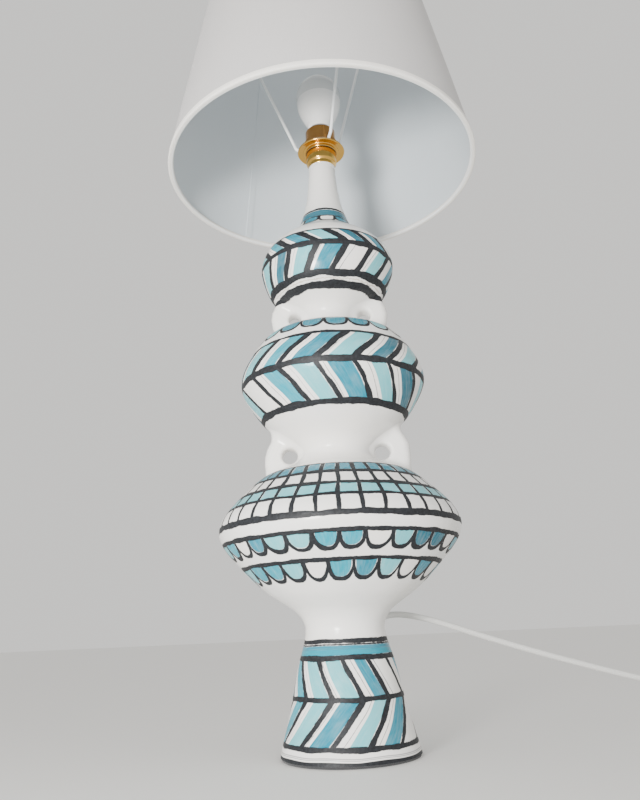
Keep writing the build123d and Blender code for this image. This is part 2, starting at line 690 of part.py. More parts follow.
def make_coil():
    """Outer shape of the neatly wound spare length."""
    half = COIL_ROWS * CORD_D / 2
    high = CORD_D + (COIL_LAYERS - 1) * COIL_LAYER_RISE
    ring = tube_of(COIL_MID_R + half, COIL_MID_R - half, 0, high)
    return Pos(COIL_X, COIL_Y, 0) * fillet(ring.edges(), CORD_D / 2 - 0.3)


def plug_place():
    """The plug's own frame: its cord end at the origin, its pins towards -X, turned to -Y."""
    return Pos(PLUG_X, PLUG_BACK_Y, PLUG_T / 2) * Rot(0, 0, 90)


def make_plug_body():
    """Flat tapered plug body, lying on its wide face."""
    front = -PLUG_SLEEVE_L - PLUG_L
    back = -PLUG_SLEEVE_L
    half = PLUG_W / 2
    tail = PLUG_TAIL_W / 2
    outline = Polyline((front, -half), (front + 9.0, -half), (back - 5.0, -tail), (back, -tail),
                       (back, tail), (back - 5.0, tail), (front + 9.0, half), (front, half),
                       close=True)
    body = extrude(make_face(outline), PLUG_T / 2, both=True)
    body = fillet(body.edges().filter_by(Axis.Z), 3.0)
    rims = body.edges().group_by(Axis.Z)
    return plug_place() * fillet(rims[0] + rims[-1], 2.2)


def make_plug_pins():
    """Two round pins, pressed into the plug's face."""
    front = -PLUG_SLEEVE_L - PLUG_L
    pins = []
    for side in (1, -1):
        place = Pos(front - PLUG_PIN_L / 2, side * PLUG_PIN_PITCH / 2, 0) * Rot(0, 90, 0)
        pin = plug_place() * place * Cylinder(PLUG_PIN_R, PLUG_PIN_L)
        pins.append(pin.solid())
    return Compound(children=pins)


def make_plug_sleeve():
    """Tapered strain relief behind the plug."""
    root = Plane(origin=(-PLUG_SLEEVE_L, 0, 0), z_dir=(1, 0, 0))
    cone = loft([root * Circle(5.2), root.offset(PLUG_SLEEVE_L) * Circle(CORD_D / 2 + 0.9)])
    return plug_place() * cone


# ---------------------------------------------------------------- build and write
def lead_points():
    """Route of the seen lead, starting square to the grommet's face."""
    reach = WAIST_R + GROMMET_PROUD + GROMMET_FLANGE_T
    return [tuple(exit_axis(reach).origin), tuple(exit_axis(reach + LEAD_CLEAR).origin)] + LEAD_POINTS


back_contact, front_contact = plunger_places()
PARTS = {
    "base_felt": disc_of(FOOT_R - 1.5, 0, FELT_T),
    "foot": make_foot(),
    "lower_bulb": make_lower_bulb(),
    "middle_bulb": thrown(MIDDLE_LINE),
    "upper_bulb": thrown(UPPER_LINE),
    "top_neck": make_top_neck(),
    "lower_lug_left": lower_lug(-1),
    "lower_lug_right": lower_lug(1),
    "upper_lug_left": upper_lug(-1),
    "upper_lug_right": upper_lug(1),
    "stem_tube": tube_of(TUBE_R, TUBE_BORE_R, TUBE_BOTTOM, TUBE_TOP),
    "clamp_washer": tube_of(WASHER_R, TUBE_R + FIT, FLOOR_Z - WASHER_T, FLOOR_Z),
    "clamp_nut": make_hex(NUT_R, FLOOR_Z - WASHER_T - NUT_T, FLOOR_Z - WASHER_T),
    "neck_cap": tube_of(NECK_CAP_R, TUBE_R + FIT, STEM_TOP_Z, STEM_TOP_Z + NECK_CAP_T),
    "lock_nut": make_hex(NUT_R - 1.0, SKIRT_FLOOR_Z, SKIRT_FLOOR_Z + LOCK_NUT_T),
    "cord_grommet": make_grommet(),
    "inner_cord": make_inner_cord(),
    "holder_skirt": make_skirt(),
    "holder_body": make_holder_body(),
    "holder_core": make_core(),
    "core_sleeve": make_core_sleeve(),
    "terminal_screws": make_terminal_screws(),
    "contact_plunger_front": make_plunger(front_contact),
    "contact_plunger_back": make_plunger(back_contact),
    "contact_spring_front": make_spring(front_contact),
    "contact_spring_back": make_spring(back_contact),
    "shade_ring": make_shade_ring(),
    "bulb_cap": make_bulb_cap(),
    "bulb_cap_disc": make_cap_disc(),
    "bulb_contacts": make_cap_contacts(),
    "bulb_shell": make_bulb_shell(),
    "bulb_dome": make_dome(),
    "light_board": make_light_board(),
    "shade_cover": cone_band(0, SHADE_T, SHADE_RIM_Z, SHADE_TOP_Z),
    "shade_top_hoop": make_wire_ring(SHADE_TOP_Z - RING_WIRE_R),
    "shade_bottom_hoop": make_wire_ring(SHADE_RIM_Z + RING_WIRE_R),
    "shade_top_tape": make_edge_tape(SHADE_TOP_Z - TAPE_H, SHADE_TOP_Z),
    "shade_bottom_tape": make_edge_tape(SHADE_RIM_Z, SHADE_RIM_Z + TAPE_H),
    "carrier_ring": make_carrier_ring(),
    "carrier_arms": make_arms(),
    "cord_lead": cord_along(lead_points(), "cord_lead"),
    "switch_base": make_switch_base(),
    "switch_cover": make_switch_cover(),
    "switch_rocker": make_rocker(),
    "rocker_cradle": make_rocker_cradle(),
    "switch_screws": make_switch_screws(),
    "cord_link": cord_along(LINK_POINTS, "cord_link"),
    "cord_coil": make_coil(),
    "cord_tail": cord_along(TAIL_POINTS, "cord_tail"),
    "plug_body": make_plug_body(),
    "plug_pins": make_plug_pins(),
    "plug_sleeve": make_plug_sleeve(),
}

for name, shape in PARTS.items():
    export_step(shape, os.path.join("parts", name + ".step"))
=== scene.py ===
"""Looks of a tall painted ceramic table lamp with a drum shade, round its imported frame."""
import json
import math
import bmesh
import bpy
import numpy as np
import openvdb
from mathutils import Matrix, Vector, noise
from mathutils.bvhtree import BVHTree


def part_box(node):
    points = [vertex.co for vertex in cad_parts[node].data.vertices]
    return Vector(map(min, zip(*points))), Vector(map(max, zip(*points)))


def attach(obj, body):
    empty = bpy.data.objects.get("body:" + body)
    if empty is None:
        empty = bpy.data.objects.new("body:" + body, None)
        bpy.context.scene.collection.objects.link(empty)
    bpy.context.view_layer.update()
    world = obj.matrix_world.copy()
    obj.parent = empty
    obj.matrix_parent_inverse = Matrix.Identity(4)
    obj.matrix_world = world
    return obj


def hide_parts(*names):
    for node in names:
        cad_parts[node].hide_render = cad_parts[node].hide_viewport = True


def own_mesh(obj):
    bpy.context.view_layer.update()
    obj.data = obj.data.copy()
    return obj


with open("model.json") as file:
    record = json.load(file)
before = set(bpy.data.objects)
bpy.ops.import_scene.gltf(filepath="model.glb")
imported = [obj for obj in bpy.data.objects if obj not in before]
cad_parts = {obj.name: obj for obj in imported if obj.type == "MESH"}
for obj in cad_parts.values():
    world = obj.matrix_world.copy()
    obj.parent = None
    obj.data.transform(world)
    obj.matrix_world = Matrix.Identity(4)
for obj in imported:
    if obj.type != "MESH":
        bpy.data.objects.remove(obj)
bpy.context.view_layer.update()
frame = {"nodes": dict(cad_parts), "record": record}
NODES = frame["nodes"]
MM = 0.001

# ---------------------------------------------------------------- colours, linear
GLAZE = (0.83, 0.815, 0.785)
INK = (0.008, 0.009, 0.011)
SOFT_INK = (0.018, 0.020, 0.024)
BLUE_INK = (0.012, 0.022, 0.042)
BROWN = (0.35, 0.24, 0.10)
DEEP = (0.000, 0.110, 0.165)
TURQUOISE = (0.000, 0.190, 0.275)
AQUA = (0.000, 0.265, 0.355)
PALE = (0.130, 0.460, 0.510)
WASH = {"d": DEEP, "t": TURQUOISE, "a": AQUA, "p": PALE, "w": GLAZE}


# ---------------------------------------------------------------- camera and light
CAMERA_AT = (0.0, -0.6158, 0.0969)
CAMERA_YAW = 0.0197
CAMERA_PITCH = math.radians(17.51)
CAMERA_ROLL = math.radians(-2.56)
CAMERA_LENS = 32.33
ROOM_COLOUR = (0.83, 0.82, 0.795, 1.0)
ROOM_STRENGTH = 1.12


def add_camera():
    """Camera low in front of the lamp, looking up at it, a little rolled."""
    aim = Matrix.Rotation(CAMERA_YAW, 3, "Z") @ Matrix.Rotation(math.pi / 2 + CAMERA_PITCH, 3, "X")
    aim = aim @ Matrix.Rotation(CAMERA_ROLL, 3, "Z")
    data = bpy.data.cameras.new("camera")
    data.lens = CAMERA_LENS
    data.clip_start = 0.01
    camera = bpy.data.objects.new("camera", data)
    camera.matrix_world = Matrix.Translation(CAMERA_AT) @ aim.to_4x4()
    bpy.context.scene.collection.objects.link(camera)
    bpy.context.scene.camera = camera


def add_lamp(name, place, target, size, power, colour=(1.0, 1.0, 1.0)):
    """Round soft light, turned towards its target."""
    data = bpy.data.lights.new(name, "AREA")
    data.shape = "DISK"
    data.size = size
    data.energy = power
    data.color = colour
    light = bpy.data.objects.new(name, data)
    aim = (Vector(target) - Vector(place)).to_track_quat("-Z", "Y")
    light.matrix_world = Matrix.Translation(place) @ aim.to_matrix().to_4x4()
    bpy.context.scene.collection.objects.link(light)


def add_world():
    """Even light from all round, as in a pale room."""
    world = bpy.data.worlds.new("soft_room")
    world.use_nodes = True
    backdrop = world.node_tree.nodes["Background"]
    backdrop.inputs["Color"].default_value = ROOM_COLOUR
    backdrop.inputs["Strength"].default_value = ROOM_STRENGTH
    bpy.context.scene.world = world


# ---------------------------------------------------------------- shader arithmetic
class Field:
    """A shader value that takes ordinary arithmetic, so that a painted band reads as a formula."""

    def __init__(self, tree, socket):
        self.tree = tree
        self.socket = socket

    def math(self, operation, *others, clamp=False):
        node = self.tree.nodes.new("ShaderNodeMath")
        node.operation = operation
        node.use_clamp = clamp
        for place, value in zip(node.inputs, (self, *others)):
            plug(self.tree, place, value)
        return Field(self.tree, node.outputs[0])

    def __add__(self, other):
        return self.math("ADD", other)

    def __sub__(self, other):
        return self.math("SUBTRACT", other)

    def __mul__(self, other):
        return self.math("MULTIPLY", other)

    def __truediv__(self, other):
        return self.math("DIVIDE", other)

    __radd__ = __add__
    __rmul__ = __mul__

    def __rsub__(self, other):
        return (self * -1.0) + other

    def clamp(self):
        return self.math("ADD", 0.0, clamp=True)

    def abs(self):
        return self.math("ABSOLUTE")

    def floor(self):
        return self.math("FLOOR")

    def fract(self):
        return self.math("FRACT")

    def most(self, other):
        return self.math("MAXIMUM", other)

    def power(self, other):
        return self.math("POWER", other)


def plug(tree, place, value):
    """Links a field or a socket to a node's input, or sets it to a plain value."""
    if isinstance(value, Field):
        tree.links.new(value.socket, place)
    elif isinstance(value, bpy.types.NodeSocket):
        tree.links.new(value, place)
    elif isinstance(value, tuple) and len(place.default_value) == 4:
        place.default_value = (*value[:3], 1.0)
    else:
        place.default_value = value


def mixed(tree, share, first, second):
    """Colour that goes from first to second; the node's colour sockets are 6 and 7."""
    node = tree.nodes.new("ShaderNodeMix")
    node.data_type = "RGBA"
    plug(tree, node.inputs[0], share)
    plug(tree, node.inputs[6], first)
    plug(tree, node.inputs[7], second)
    return node.outputs[2]


def clouds(tree, scale, detail=2.0, vector=None, rough=0.5):
    """Noise from 0 to 1; without a vector it follows the object's own frame, in metres."""
    node = tree.nodes.new("ShaderNodeTexNoise")
    node.inputs["Scale"].default_value = scale
    node.inputs["Detail"].default_value = detail
    node.inputs["Roughness"].default_value = rough
    if vector is None:
        vector = tree.nodes.new("ShaderNodeTexCoord").outputs["Object"]
    plug(tree, node.inputs["Vector"], vector)
    return Field(tree, node.outputs["Fac"])


def joined(tree, x, y, z):
    """Vector made of three values."""
    node = tree.nodes.new("ShaderNodeCombineXYZ")
    for place, value in zip(node.inputs, (x, y, z)):
        plug(tree, place, value)
    return node.outputs[0]


def clouds_at(tree, x, y, z, detail=2.0, rough=0.5):
    """Noise from 0 to 1 at a place that the shader works out."""
    return clouds(tree, 1.0, detail, joined(tree, x, y, z), rough)


def split_place(tree):
    """x, y and z in the object's own frame, in metres."""
    split = tree.nodes.new("ShaderNodeSeparateXYZ")
    coords = tree.nodes.new("ShaderNodeTexCoord").outputs["Object"]
    tree.links.new(coords, split.inputs[0])
    return [Field(tree, socket) for socket in split.outputs]


def new_material(name, **settings):
    """Principled material; settings name its sockets, with _ for a space."""
    material = bpy.data.materials.new(name)
    material.use_nodes = True
    shader = material.node_tree.nodes["Principled BSDF"]
    for key, value in settings.items():
        plug(material.node_tree, shader.inputs[key.replace("_", " ")], value)
    if "Base_Color" in settings:
        material.diffuse_color = (*settings["Base_Color"], 1.0)
    return material, material.node_tree, shader


def add_bump(tree, shader, height, distance, strength=1.0):
    """Fine relief; distance is how deep a height of 1 is, in metres."""
    node = tree.nodes.new("ShaderNodeBump")
    node.inputs["Strength"].default_value = strength
    node.inputs["Distance"].default_value = distance
    plug(tree, node.inputs["Height"], height)
    tree.links.new(node.outputs["Normal"], shader.inputs["Normal"])


# ---------------------------------------------------------------- painted ceramic
LUG_RING = (384.3, 3.6)     # the black line under the upper bulb, which runs on over its lugs


class Canvas:
    """Glaze painting on a turned surface.

    Heights and widths are in mm. Turns run from the front rightwards, and 1 is all the way round.
    """

    EDGE = 0.35         # softness of every edge
    SWAY = 2.0          # how far level lines wander up and down
    DRIFT = 0.012       # how far upright lines wander round, in turns
    PRESS = 0.58        # share of a line's width on each side of its middle
    RAGGED = 0.9        # unevenness of a brushed edge
    PER_METRE = 1000.0

    def __init__(self, tree):
        self.tree = tree
        x, y, z = split_place(tree)
        sway = clouds(tree, 34.0, 1.0)
        drift = clouds(tree, 27.0, 1.0, vector=joined(tree, y, z, x))
        self.ragged = clouds(tree, 420.0, 2.0) - 0.5
        self.swell = clouds(tree, 75.0, 1.0) * 1.1 + 0.45
        self.height = z * self.PER_METRE + (sway - 0.5) * self.SWAY
        self.reach = (x * x + y * y).power(0.5) * self.PER_METRE
        angle = x.math("ARCTAN2", y * -1.0)
        self.turn = angle / math.tau + (drift - 0.5) * self.DRIFT
        self.ink = self.height * 0.0
        self.paint = self.height * 0.0
        self.colour = self.glaze()

    def glaze(self):
        """White glaze with faint cooler and warmer clouds."""
        warm = clouds(self.tree, 19.0, 3.0) * 1.6 - 0.4
        return mixed(self.tree, warm.clamp(), (0.80, 0.80, 0.79), (0.86, 0.835, 0.79))

    def inside(self, depth):
        """1 where depth, in mm, is positive, with a soft edge."""
        return (depth / self.EDGE + 0.5).clamp()

    def between(self, low, high):
        return self.inside(self.height - low) * self.inside(high - self.height)

    def draw(self, distance, width):
        """Brush line of about that width, its edges a little ragged."""
        depth = self.swell * (width * self.PRESS) - distance.abs() + self.ragged * self.RAGGED
        return self.inside(depth)

    def hairline(self, height, half_width):
        """Thin line of even width."""
        return self.inside(half_width - (self.height - height).abs())

    def add_ink(self, mask):
        self.ink = self.ink.most(mask)

    def add_tint(self, mask, colour):
        self.colour = mixed(self.tree, mask, self.colour, colour)

    def rings(self, *lines):
        """Black lines round the lamp, each given by its height and width."""
        for height, width in lines:
            self.add_ink(self.draw(self.height - height, width))

    def cells(self, count, start):
        """Turns counted in cells, from a cell edge at the start angle in degrees."""
        return self.turn * count - start * count / 360.0

    def to_edge(self, within, width):
        """Distance to the nearer upright edge of a cell."""
        return (0.5 - (within - 0.5).abs()) * width

    def wash(self, mask, colour, along, across, seed):
        """Transparent colour that shows its brush strokes along one direction."""
        strokes = clouds_at(self.tree, across * 9.0, along * 1.3, seed, 4.0, 0.6)
        pools = clouds_at(self.tree, across * 2.0, along * 1.6, seed)
        thin = (strokes * 1.9 - 0.70).clamp() * 0.12 + (pools * 2.2 - 1.0).clamp() * 0.10
        self.add_tint(mask, mixed(self.tree, thin.clamp(), colour, self.colour))
        self.paint = self.paint.most(mask * 0.6)

    def swatch(self, index, count, letters):
        """One colour of a repeating list for each cell round the lamp."""
        ramp = self.tree.nodes.new("ShaderNodeValToRGB")
        ramp.color_ramp.interpolation = "CONSTANT"
        cells = [letters[k % len(letters)] for k in range(count)]
        stops = ramp.color_ramp.elements
        while len(stops) < count:
            stops.new(0.5)
        for k, letter in enumerate(cells):
            stops[k].position = k / count
            stops[k].color = (*WASH[letter], 1.0)
        plug(self.tree, ramp.inputs[0], ((index + 0.5) / count).fract())
        return ramp.outputs[0]

    def chevrons(self, ridge, end, count, start, lean, line, letters, share=0.40):
        """Half a band of slanted cells, from a ridge at one height to its other end.

        start is the angle of a cell edge at the ridge, in degrees, and lean is how many cells the
        edges move to the right on their way to the end. share is about how much of a cell, from
        its left edge, stays white.
        """
        along = (self.height - ridge) / (end - ridge)
        cell = self.cells(count, start) - along * lean
        within = cell.fract()
        index = cell.floor()
        width = self.reach * (math.tau / count)
        pitch = width * abs(lean) / abs(end - ridge)
        square = (pitch * pitch + 1.0).power(-0.5)
        band = self.between(min(ridge, end), max(ridge, end))
        edge = self.to_edge(within, width) * square
        wobble = clouds_at(self.tree, index * 3.7, 0.0, 1.5, detail=0.0) - 0.5
        start_at = share + wobble * 0.5
        strip = self.inside((within - start_at) * width * 0.8) * self.inside(edge - line * 0.5 - 0.4)
        tint = self.swatch(index, count, letters)
        self.wash(band * strip, tint, along * 2.0, within * 1.5, index * 5.3)
        pencil = (within - start_at + 0.10 + along * 0.05) * width
        chance = clouds_at(self.tree, index * 7.1, 4.0, 0.0, detail=0.0) * 6.0 - 2.2
        thread = self.inside(0.28 - pencil.abs() + self.ragged * 0.5) * band * chance.clamp()
        self.add_tint(thread * 0.8, INK)
        self.add_ink(self.draw(edge, line) * band)

    def scallops(self, top, depth, count, start, line, letters, full=2.6):
        """Row of U shapes that hang from a line; full is how square they are."""
        cell = self.cells(count, start)
        index = cell.floor()
        within = cell.fract() * 2.0 - 1.0
        width = self.reach * (math.tau / count)
        drop = (self.height * -1.0 + top) / depth
        across, down = within.abs().power(full), drop.most(0.0).power(full)
        curve = across + down + 0.0001
        scale = (across * width * 0.5 + down * depth) / curve
        inner = (1.0 - curve.power(1.0 / full)) * scale
        hanging = self.inside(top - self.height)
        shape = hanging * self.inside(inner - line * 0.72)
        self.wash(shape, self.swatch(index, count, letters), drop, within * 0.7, index * 3.1)
        self.add_ink(self.draw(inner - line * 0.12, line) * hanging)

    def checks(self, rows, letters, count, line):
        """Grid of painted cells; rows are the heights of its level lines, from the top."""
        cell = self.turn * count
        edge = self.to_edge(cell.fract(), self.reach * (math.tau / count))
        for high, low, letter in zip(rows, rows[1:], letters):
            body = self.between(low, high) * self.inside(edge - line * 0.5 - 0.3)
            if letter != "w":
                along = (self.height - low) / (high - low)
                self.wash(body, WASH[letter], cell * 2.0, along, cell.floor() * 2.3 + high)
        upright = self.between(rows[-1], rows[0])
        self.add_ink(self.draw(edge, line) * upright)


def paint_foot(canvas):
    """Two rows of slanted cells under a blue band, between level lines."""
    low, ridge, high = 12.0, 44.5, 73.3
    canvas.chevrons(ridge, low, count=12, start=-15.5, lean=-1.0, line=3.4, letters="tptwap")
    canvas.chevrons(ridge, high, count=12, start=-15.5, lean=-0.67, line=3.4, letters="ptwtap")
    canvas.wash(canvas.between(75.5, 82.5), TURQUOISE, canvas.turn * 9.0, canvas.height * 0.5, 3.0)
    canvas.wash(canvas.between(75.5, 79.5) * 0.8, AQUA, canvas.turn * 5.0, canvas.height * 0.7, 8.0)
    canvas.rings((low, 3.2), (ridge, 3.0), (73.6, 3.6), (83.2, 1.0), (85.8, 3.0))
    canvas.add_tint(canvas.hairline(6.6, 0.35).most(canvas.hairline(5.6, 0.25)) * 0.6, BLUE_INK)
    canvas.add_ink(canvas.inside(4.3 - canvas.height))


def paint_lower_bulb(canvas):
    """Grid of cells on the shoulder, and two rows of scallops below it."""
    canvas.checks((219.2, 210.4, 199.5, 189.5, 174.8), "twpw", count=36, line=3.0)
    canvas.rings((219.2, 1.0), (210.4, 2.4), (199.5, 2.8), (189.5, 2.3), (174.8, 4.3))
    canvas.scallops(top=162.8, depth=12.4, count=31, start=-0.7, line=2.6,
                    letters="awpddwatpwatpwadwptawptwpawtppa")
    canvas.rings((162.8, 2.8))
    canvas.scallops(top=143.6, depth=13.4, count=26, start=6.5, line=2.4,
                    letters="tpwtwaptwpatwpawtpwapaapwa")
    canvas.rings((143.6, 2.5))


def paint_middle_bulb(canvas):
    """Slanted cells up and down from the ridge, and scallops on the neck."""
    low, ridge, high = 270.0, 300.2, 326.7
    canvas.chevrons(ridge, high, count=16, start=-10.5, lean=0.93, line=4.4, letters="pdptwapdtpawtpat")
    canvas.chevrons(ridge, low, count=16, start=-10.5, lean=0.72, line=3.6, letters="tpdpawptpawtpwap")
    canvas.rings((high, 2.5), (ridge, 4.4), (low, 4.0), (346.3, 0.9))
    canvas.scallops(top=346.4, depth=12.0, count=20, start=-4.6, line=2.0, letters="ttpwtp")


def paint_upper_bulb(canvas):
    """Slanted cells up and down from the ridge, and a thin brown line."""
    low, ridge, high = 391.2, 416.5, 431.0
    canvas.chevrons(ridge, high, count=15, start=-6.0, lean=-0.75, line=4.4, letters="pdtpwapdtpawpat")
    canvas.chevrons(ridge, low, count=15, start=-6.0, lean=-0.60, line=4.6, letters="twptapwdpawtpdp")
    canvas.rings((high, 1.5), (ridge, 4.2), (391.4, 4.2), LUG_RING)
    hair = canvas.inside(0.3 - (canvas.height - 387.6 + canvas.ragged * 2.0).abs())
    canvas.add_tint(hair * 0.5, BROWN)


def paint_upper_lug(canvas):
    canvas.rings(LUG_RING)


def paint_collar(canvas):
    """Blue band over a row of small scallops."""
    canvas.scallops(top=464.5, depth=9.2, count=11, start=-11.4, line=1.9, letters="wtpttwtptwt")
    canvas.wash(canvas.between(465.3, 472.8), DEEP, canvas.turn * 9.0, canvas.height * 0.5, 3.0)
    canvas.rings((464.5, 1.2), (474.2, 2.0))


def painted_material(name, paint):
    """Glaze with its painting, where the black stands up a little and shines less."""
    material, tree, shader = new_material(name, Base_Color=GLAZE, Roughness=0.25)
    canvas = Canvas(tree)
    if paint:
        paint(canvas)
    black = mixed(tree, (canvas.ragged * 3.0 + 0.5).clamp(), INK, SOFT_INK)
    colour = mixed(tree, canvas.ink, canvas.colour, black)
    tree.links.new(colour, shader.inputs["Base Color"])
    grain = clouds(tree, 900.0, 2.0)
    lumps = clouds(tree, 55.0, 2.0)
    shine = canvas.ink * 0.34 + canvas.paint * 0.06 + grain * 0.05 + 0.17
    plug(tree, shader.inputs["Roughness"], shine)
    relief = canvas.ink * (canvas.ragged * 0.8 + 0.75) + canvas.paint * 0.10
    relief = relief + lumps * 0.9 + grain * 0.03
    add_bump(tree, shader, relief, 0.0005)
    shader.inputs["Specular IOR Level"].default_value = 0.28
    return material


# ---------------------------------------------------------------- mesh helpers
def finish_mesh(name, points, faces, materials, body, sharp=40.0):
    """Object from points and faces, smooth but for its sharp edges, riding on a body."""
    mesh = bpy.data.meshes.new(name)
    mesh.from_pydata([tuple(p) for p in points], [], [tuple(f) for f in faces])
    shape = bmesh.new()
    shape.from_mesh(mesh)
    bmesh.ops.recalc_face_normals(shape, faces=shape.faces)
    for face in shape.faces:
        face.smooth = True
    limit = math.radians(sharp)
    for edge in shape.edges:
        edge.smooth = not (len(edge.link_faces) == 2 and edge.calc_face_angle(0.0) > limit)
    shape.to_mesh(mesh)
    shape.free()
    for material in materials:
        mesh.materials.append(material)
    piece = bpy.data.objects.new(name, mesh)
    bpy.context.scene.collection.objects.link(piece)
    if body:
        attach(piece, body)
    return piece


def lathe_faces(rings, segments):
    """Quads from each ring of points to the next, and from the last to the first."""
    faces = []
    for row in range(rings):
        here, above = row * segments, (row + 1) % rings * segments
        for k in range(segments):
            after = (k + 1) % segments
            faces.append((here + k, here + after, above + after, above + k))
    return faces


def lathe(name, profile, materials, body, segments, warp=None, place=None, sharp=40.0):
    """Turned piece from a closed profile of (radius, height), in metres.

    warp may push each point outwards, and place turns and moves the whole piece.
    """
    points = []
    for radius, height in profile:
        for k in range(segments):
            angle = math.tau * k / segments
            reach = radius + (warp(angle, radius, height) if warp else 0.0)
            points.append(Vector((reach * math.sin(angle), -reach * math.cos(angle), height)))
    if place:
        points = [place @ point for point in points]
    faces = lathe_faces(len(profile), segments)
    return finish_mesh(name, points, faces, materials, body, sharp)


def arc(centre_r, centre_z, radius, start, end, steps=8):
    """Points of a round edge in a profile; angles are in degrees, 0 outwards and 90 up."""
    angles = [math.radians(start + (end - start) * k / steps) for k in range(steps + 1)]
    return [(centre_r + radius * math.cos(a), centre_z + radius * math.sin(a)) for a in angles]


def evenly(profile, step):
    """The same line with points a step apart."""
    line = np.array(profile)
    reach = np.concatenate([[0.0], np.cumsum(np.hypot(*np.diff(line, axis=0).T))])
    count = max(2, int(reach[-1] / step) + 1)
    at = np.linspace(0.0, reach[-1], count)
    radii, heights = (np.interp(at, reach, line[:, axis]) for axis in (0, 1))
    return [(float(r), float(z)) for r, z in zip(radii, heights)]


# ---------------------------------------------------------------- ceramic body
CERAMIC = ("foot", "lower_bulb", "middle_bulb", "upper_bulb", "top_neck")
OUTLINE_STEP = 0.001
CLAY_WALL = 0.005
CLAY_ROW = 0.0022
CLAY_SEGMENTS = 240
TOP_BORE_R = 0.006
COLLAR_FROM = 0.441         # height where the painting of the collar takes over
SWELL_SCALE, SWELL_DEPTH = 18.0, 0.0006
FINGER_RINGS, FINGER_DEPTH = 900.0, 0.00006


def outer_line():
    """(radius, height) of the stem's outer face, where rays from the front meet its CAD nodes."""
    line = []
    in_front, inwards, past_joint = -0.5, Vector((0.0, 1.0, 0.0)), 0.0003
    for name in CERAMIC:
        mesh = NODES[name].data
        polygons = [p.vertices for p in mesh.polygons]
        tree = BVHTree.FromPolygons([v.co for v in mesh.vertices], polygons)
        low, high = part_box(name)
        for z in np.arange(low.z + past_joint, high.z, OUTLINE_STEP):
            hit = tree.ray_cast(Vector((0.0, in_front, z)), inwards)[0]
            if hit is not None:
                line.append((-hit.y, float(z)))
    return line


def softened(line, spread=3):
    """The line with its corners rounded over a few points, as thrown clay has them."""
    radii = np.array([r for r, z in line])
    weights = np.exp(-0.5 * (np.arange(-2 * spread, 2 * spread + 1) / spread) ** 2)
    padded = np.pad(radii, 2 * spread, mode="edge")
    smooth = np.convolve(padded, weights / weights.sum(), mode="valid")
    return [(float(r), z) for r, (_, z) in zip(smooth, line)]


def hand_thrown(angle, radius, height):
    """Slight unevenness of a thrown wall: slow swells and faint finger rings."""
    place = Vector((math.sin(angle) * radius, -math.cos(angle) * radius, height))
    slow = noise.noise(place * SWELL_SCALE) * SWELL_DEPTH
    rings = math.sin(height * FINGER_RINGS + angle) * FINGER_DEPTH
    return slow + rings


def add_ceramic(line, materials):
    """The hollow stem in one piece, from the foot to the crown; each section has its painting."""
    low, high = line[0][1], line[-1][1]
    foot_r, top_r = line[0][0], line[-1][0]
    past_end = 0.0002
    outer = [(foot_r - 0.0022, low - past_end), (foot_r - 0.0007, low + past_end)] + line
    crown = [(top_r - 0.0006, high + past_end), (TOP_BORE_R, high + past_end)]
    crown.append((TOP_BORE_R, high - 0.006))
    inner = [(r - CLAY_WALL, z) for r, z in line[::8] if low + 0.004 < z < high - 0.008]
    underside = [(foot_r - CLAY_WALL - 0.001, low - past_end)]
    profile = evenly(outer, CLAY_ROW) + crown + inner[::-1] + underside
    piece = lathe("ceramic_stem", profile, materials, "root", CLAY_SEGMENTS, hand_thrown, sharp=55.0)
    tops = [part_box(name)[1].z for name in CERAMIC[:3]] + [COLLAR_FROM]      # of all but the collar
    for face in piece.data.polygons:
        face.material_index = sum(face.center.z > top for top in tops)
    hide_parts(*CERAMIC)


# ---------------------------------------------------------------- lugs
VOXEL = 0.001
LUG_THICK = 0.0165
LUG_ROUND = 0.0070
LUG_BLEND = 0.0085
LUG_SPREAD = 0.0105         # how far the blend may reach from the lug itself
LUG_SINK = 0.003            # how deep the lug goes into the stem's wall
LUG_FROM = 0.016            # the voxels start this far from the axis
LUG_SIDE = 0.024            # and reach this far to each side
LUG_MARGIN = 0.006
HOLE_EASE = 1.06
HOLE_FLARE = 12.0
HOLE_LIP = 0.003
LOWER_LUG_RIGHT = [(0, 213), (60, 214), (63.4, 219), (64.5, 226.6), (65.0, 236), (64.4, 247),
                   (61.2, 253.5), (56.3, 261), (50, 267), (0, 268)]
LOWER_LUG_LEFT = [(0, 213), (52, 214), (59, 219.5), (62.0, 226), (62.8, 233), (62.4, 240),
                  (60.5, 247), (57, 253.5), (55.4, 260), (52, 267), (0, 268)]
UPPER_LUG = [(0, 343), (43, 345), (49.5, 354), (52.8, 361.5), (54.0, 370), (53.0, 377),
             (50.0, 383), (45.5, 387), (0, 388)]


def polygon_distance(px, pz, corners):
    """Signed distance in the plane, negative inside the polygon."""
    best = np.full(px.shape, 1e9)
    inside = np.zeros(px.shape, bool)
    for (ax, az), (bx, bz) in zip(corners, corners[1:] + corners[:1]):
        ex, ez = bx - ax, bz - az
        share = np.clip(((px - ax) * ex + (pz - az) * ez) / (ex * ex + ez * ez), 0, 1)
        best = np.minimum(best, np.hypot(px - ax - share * ex, pz - az - share * ez))
        crosses = (az > pz) != (bz > pz)
        with np.errstate(divide="ignore", invalid="ignore"):
            inside ^= crosses & (px < ax + (pz - az) * ex / ez)
    return np.where(inside, -best, best)


def smooth_least(a, b, spread):
    """Union of two distance fields with a rounded inner corner."""
    blend = np.maximum(spread - np.abs(a - b), 0.0) / spread
    return np.minimum(a, b) - blend * blend * spread / 4


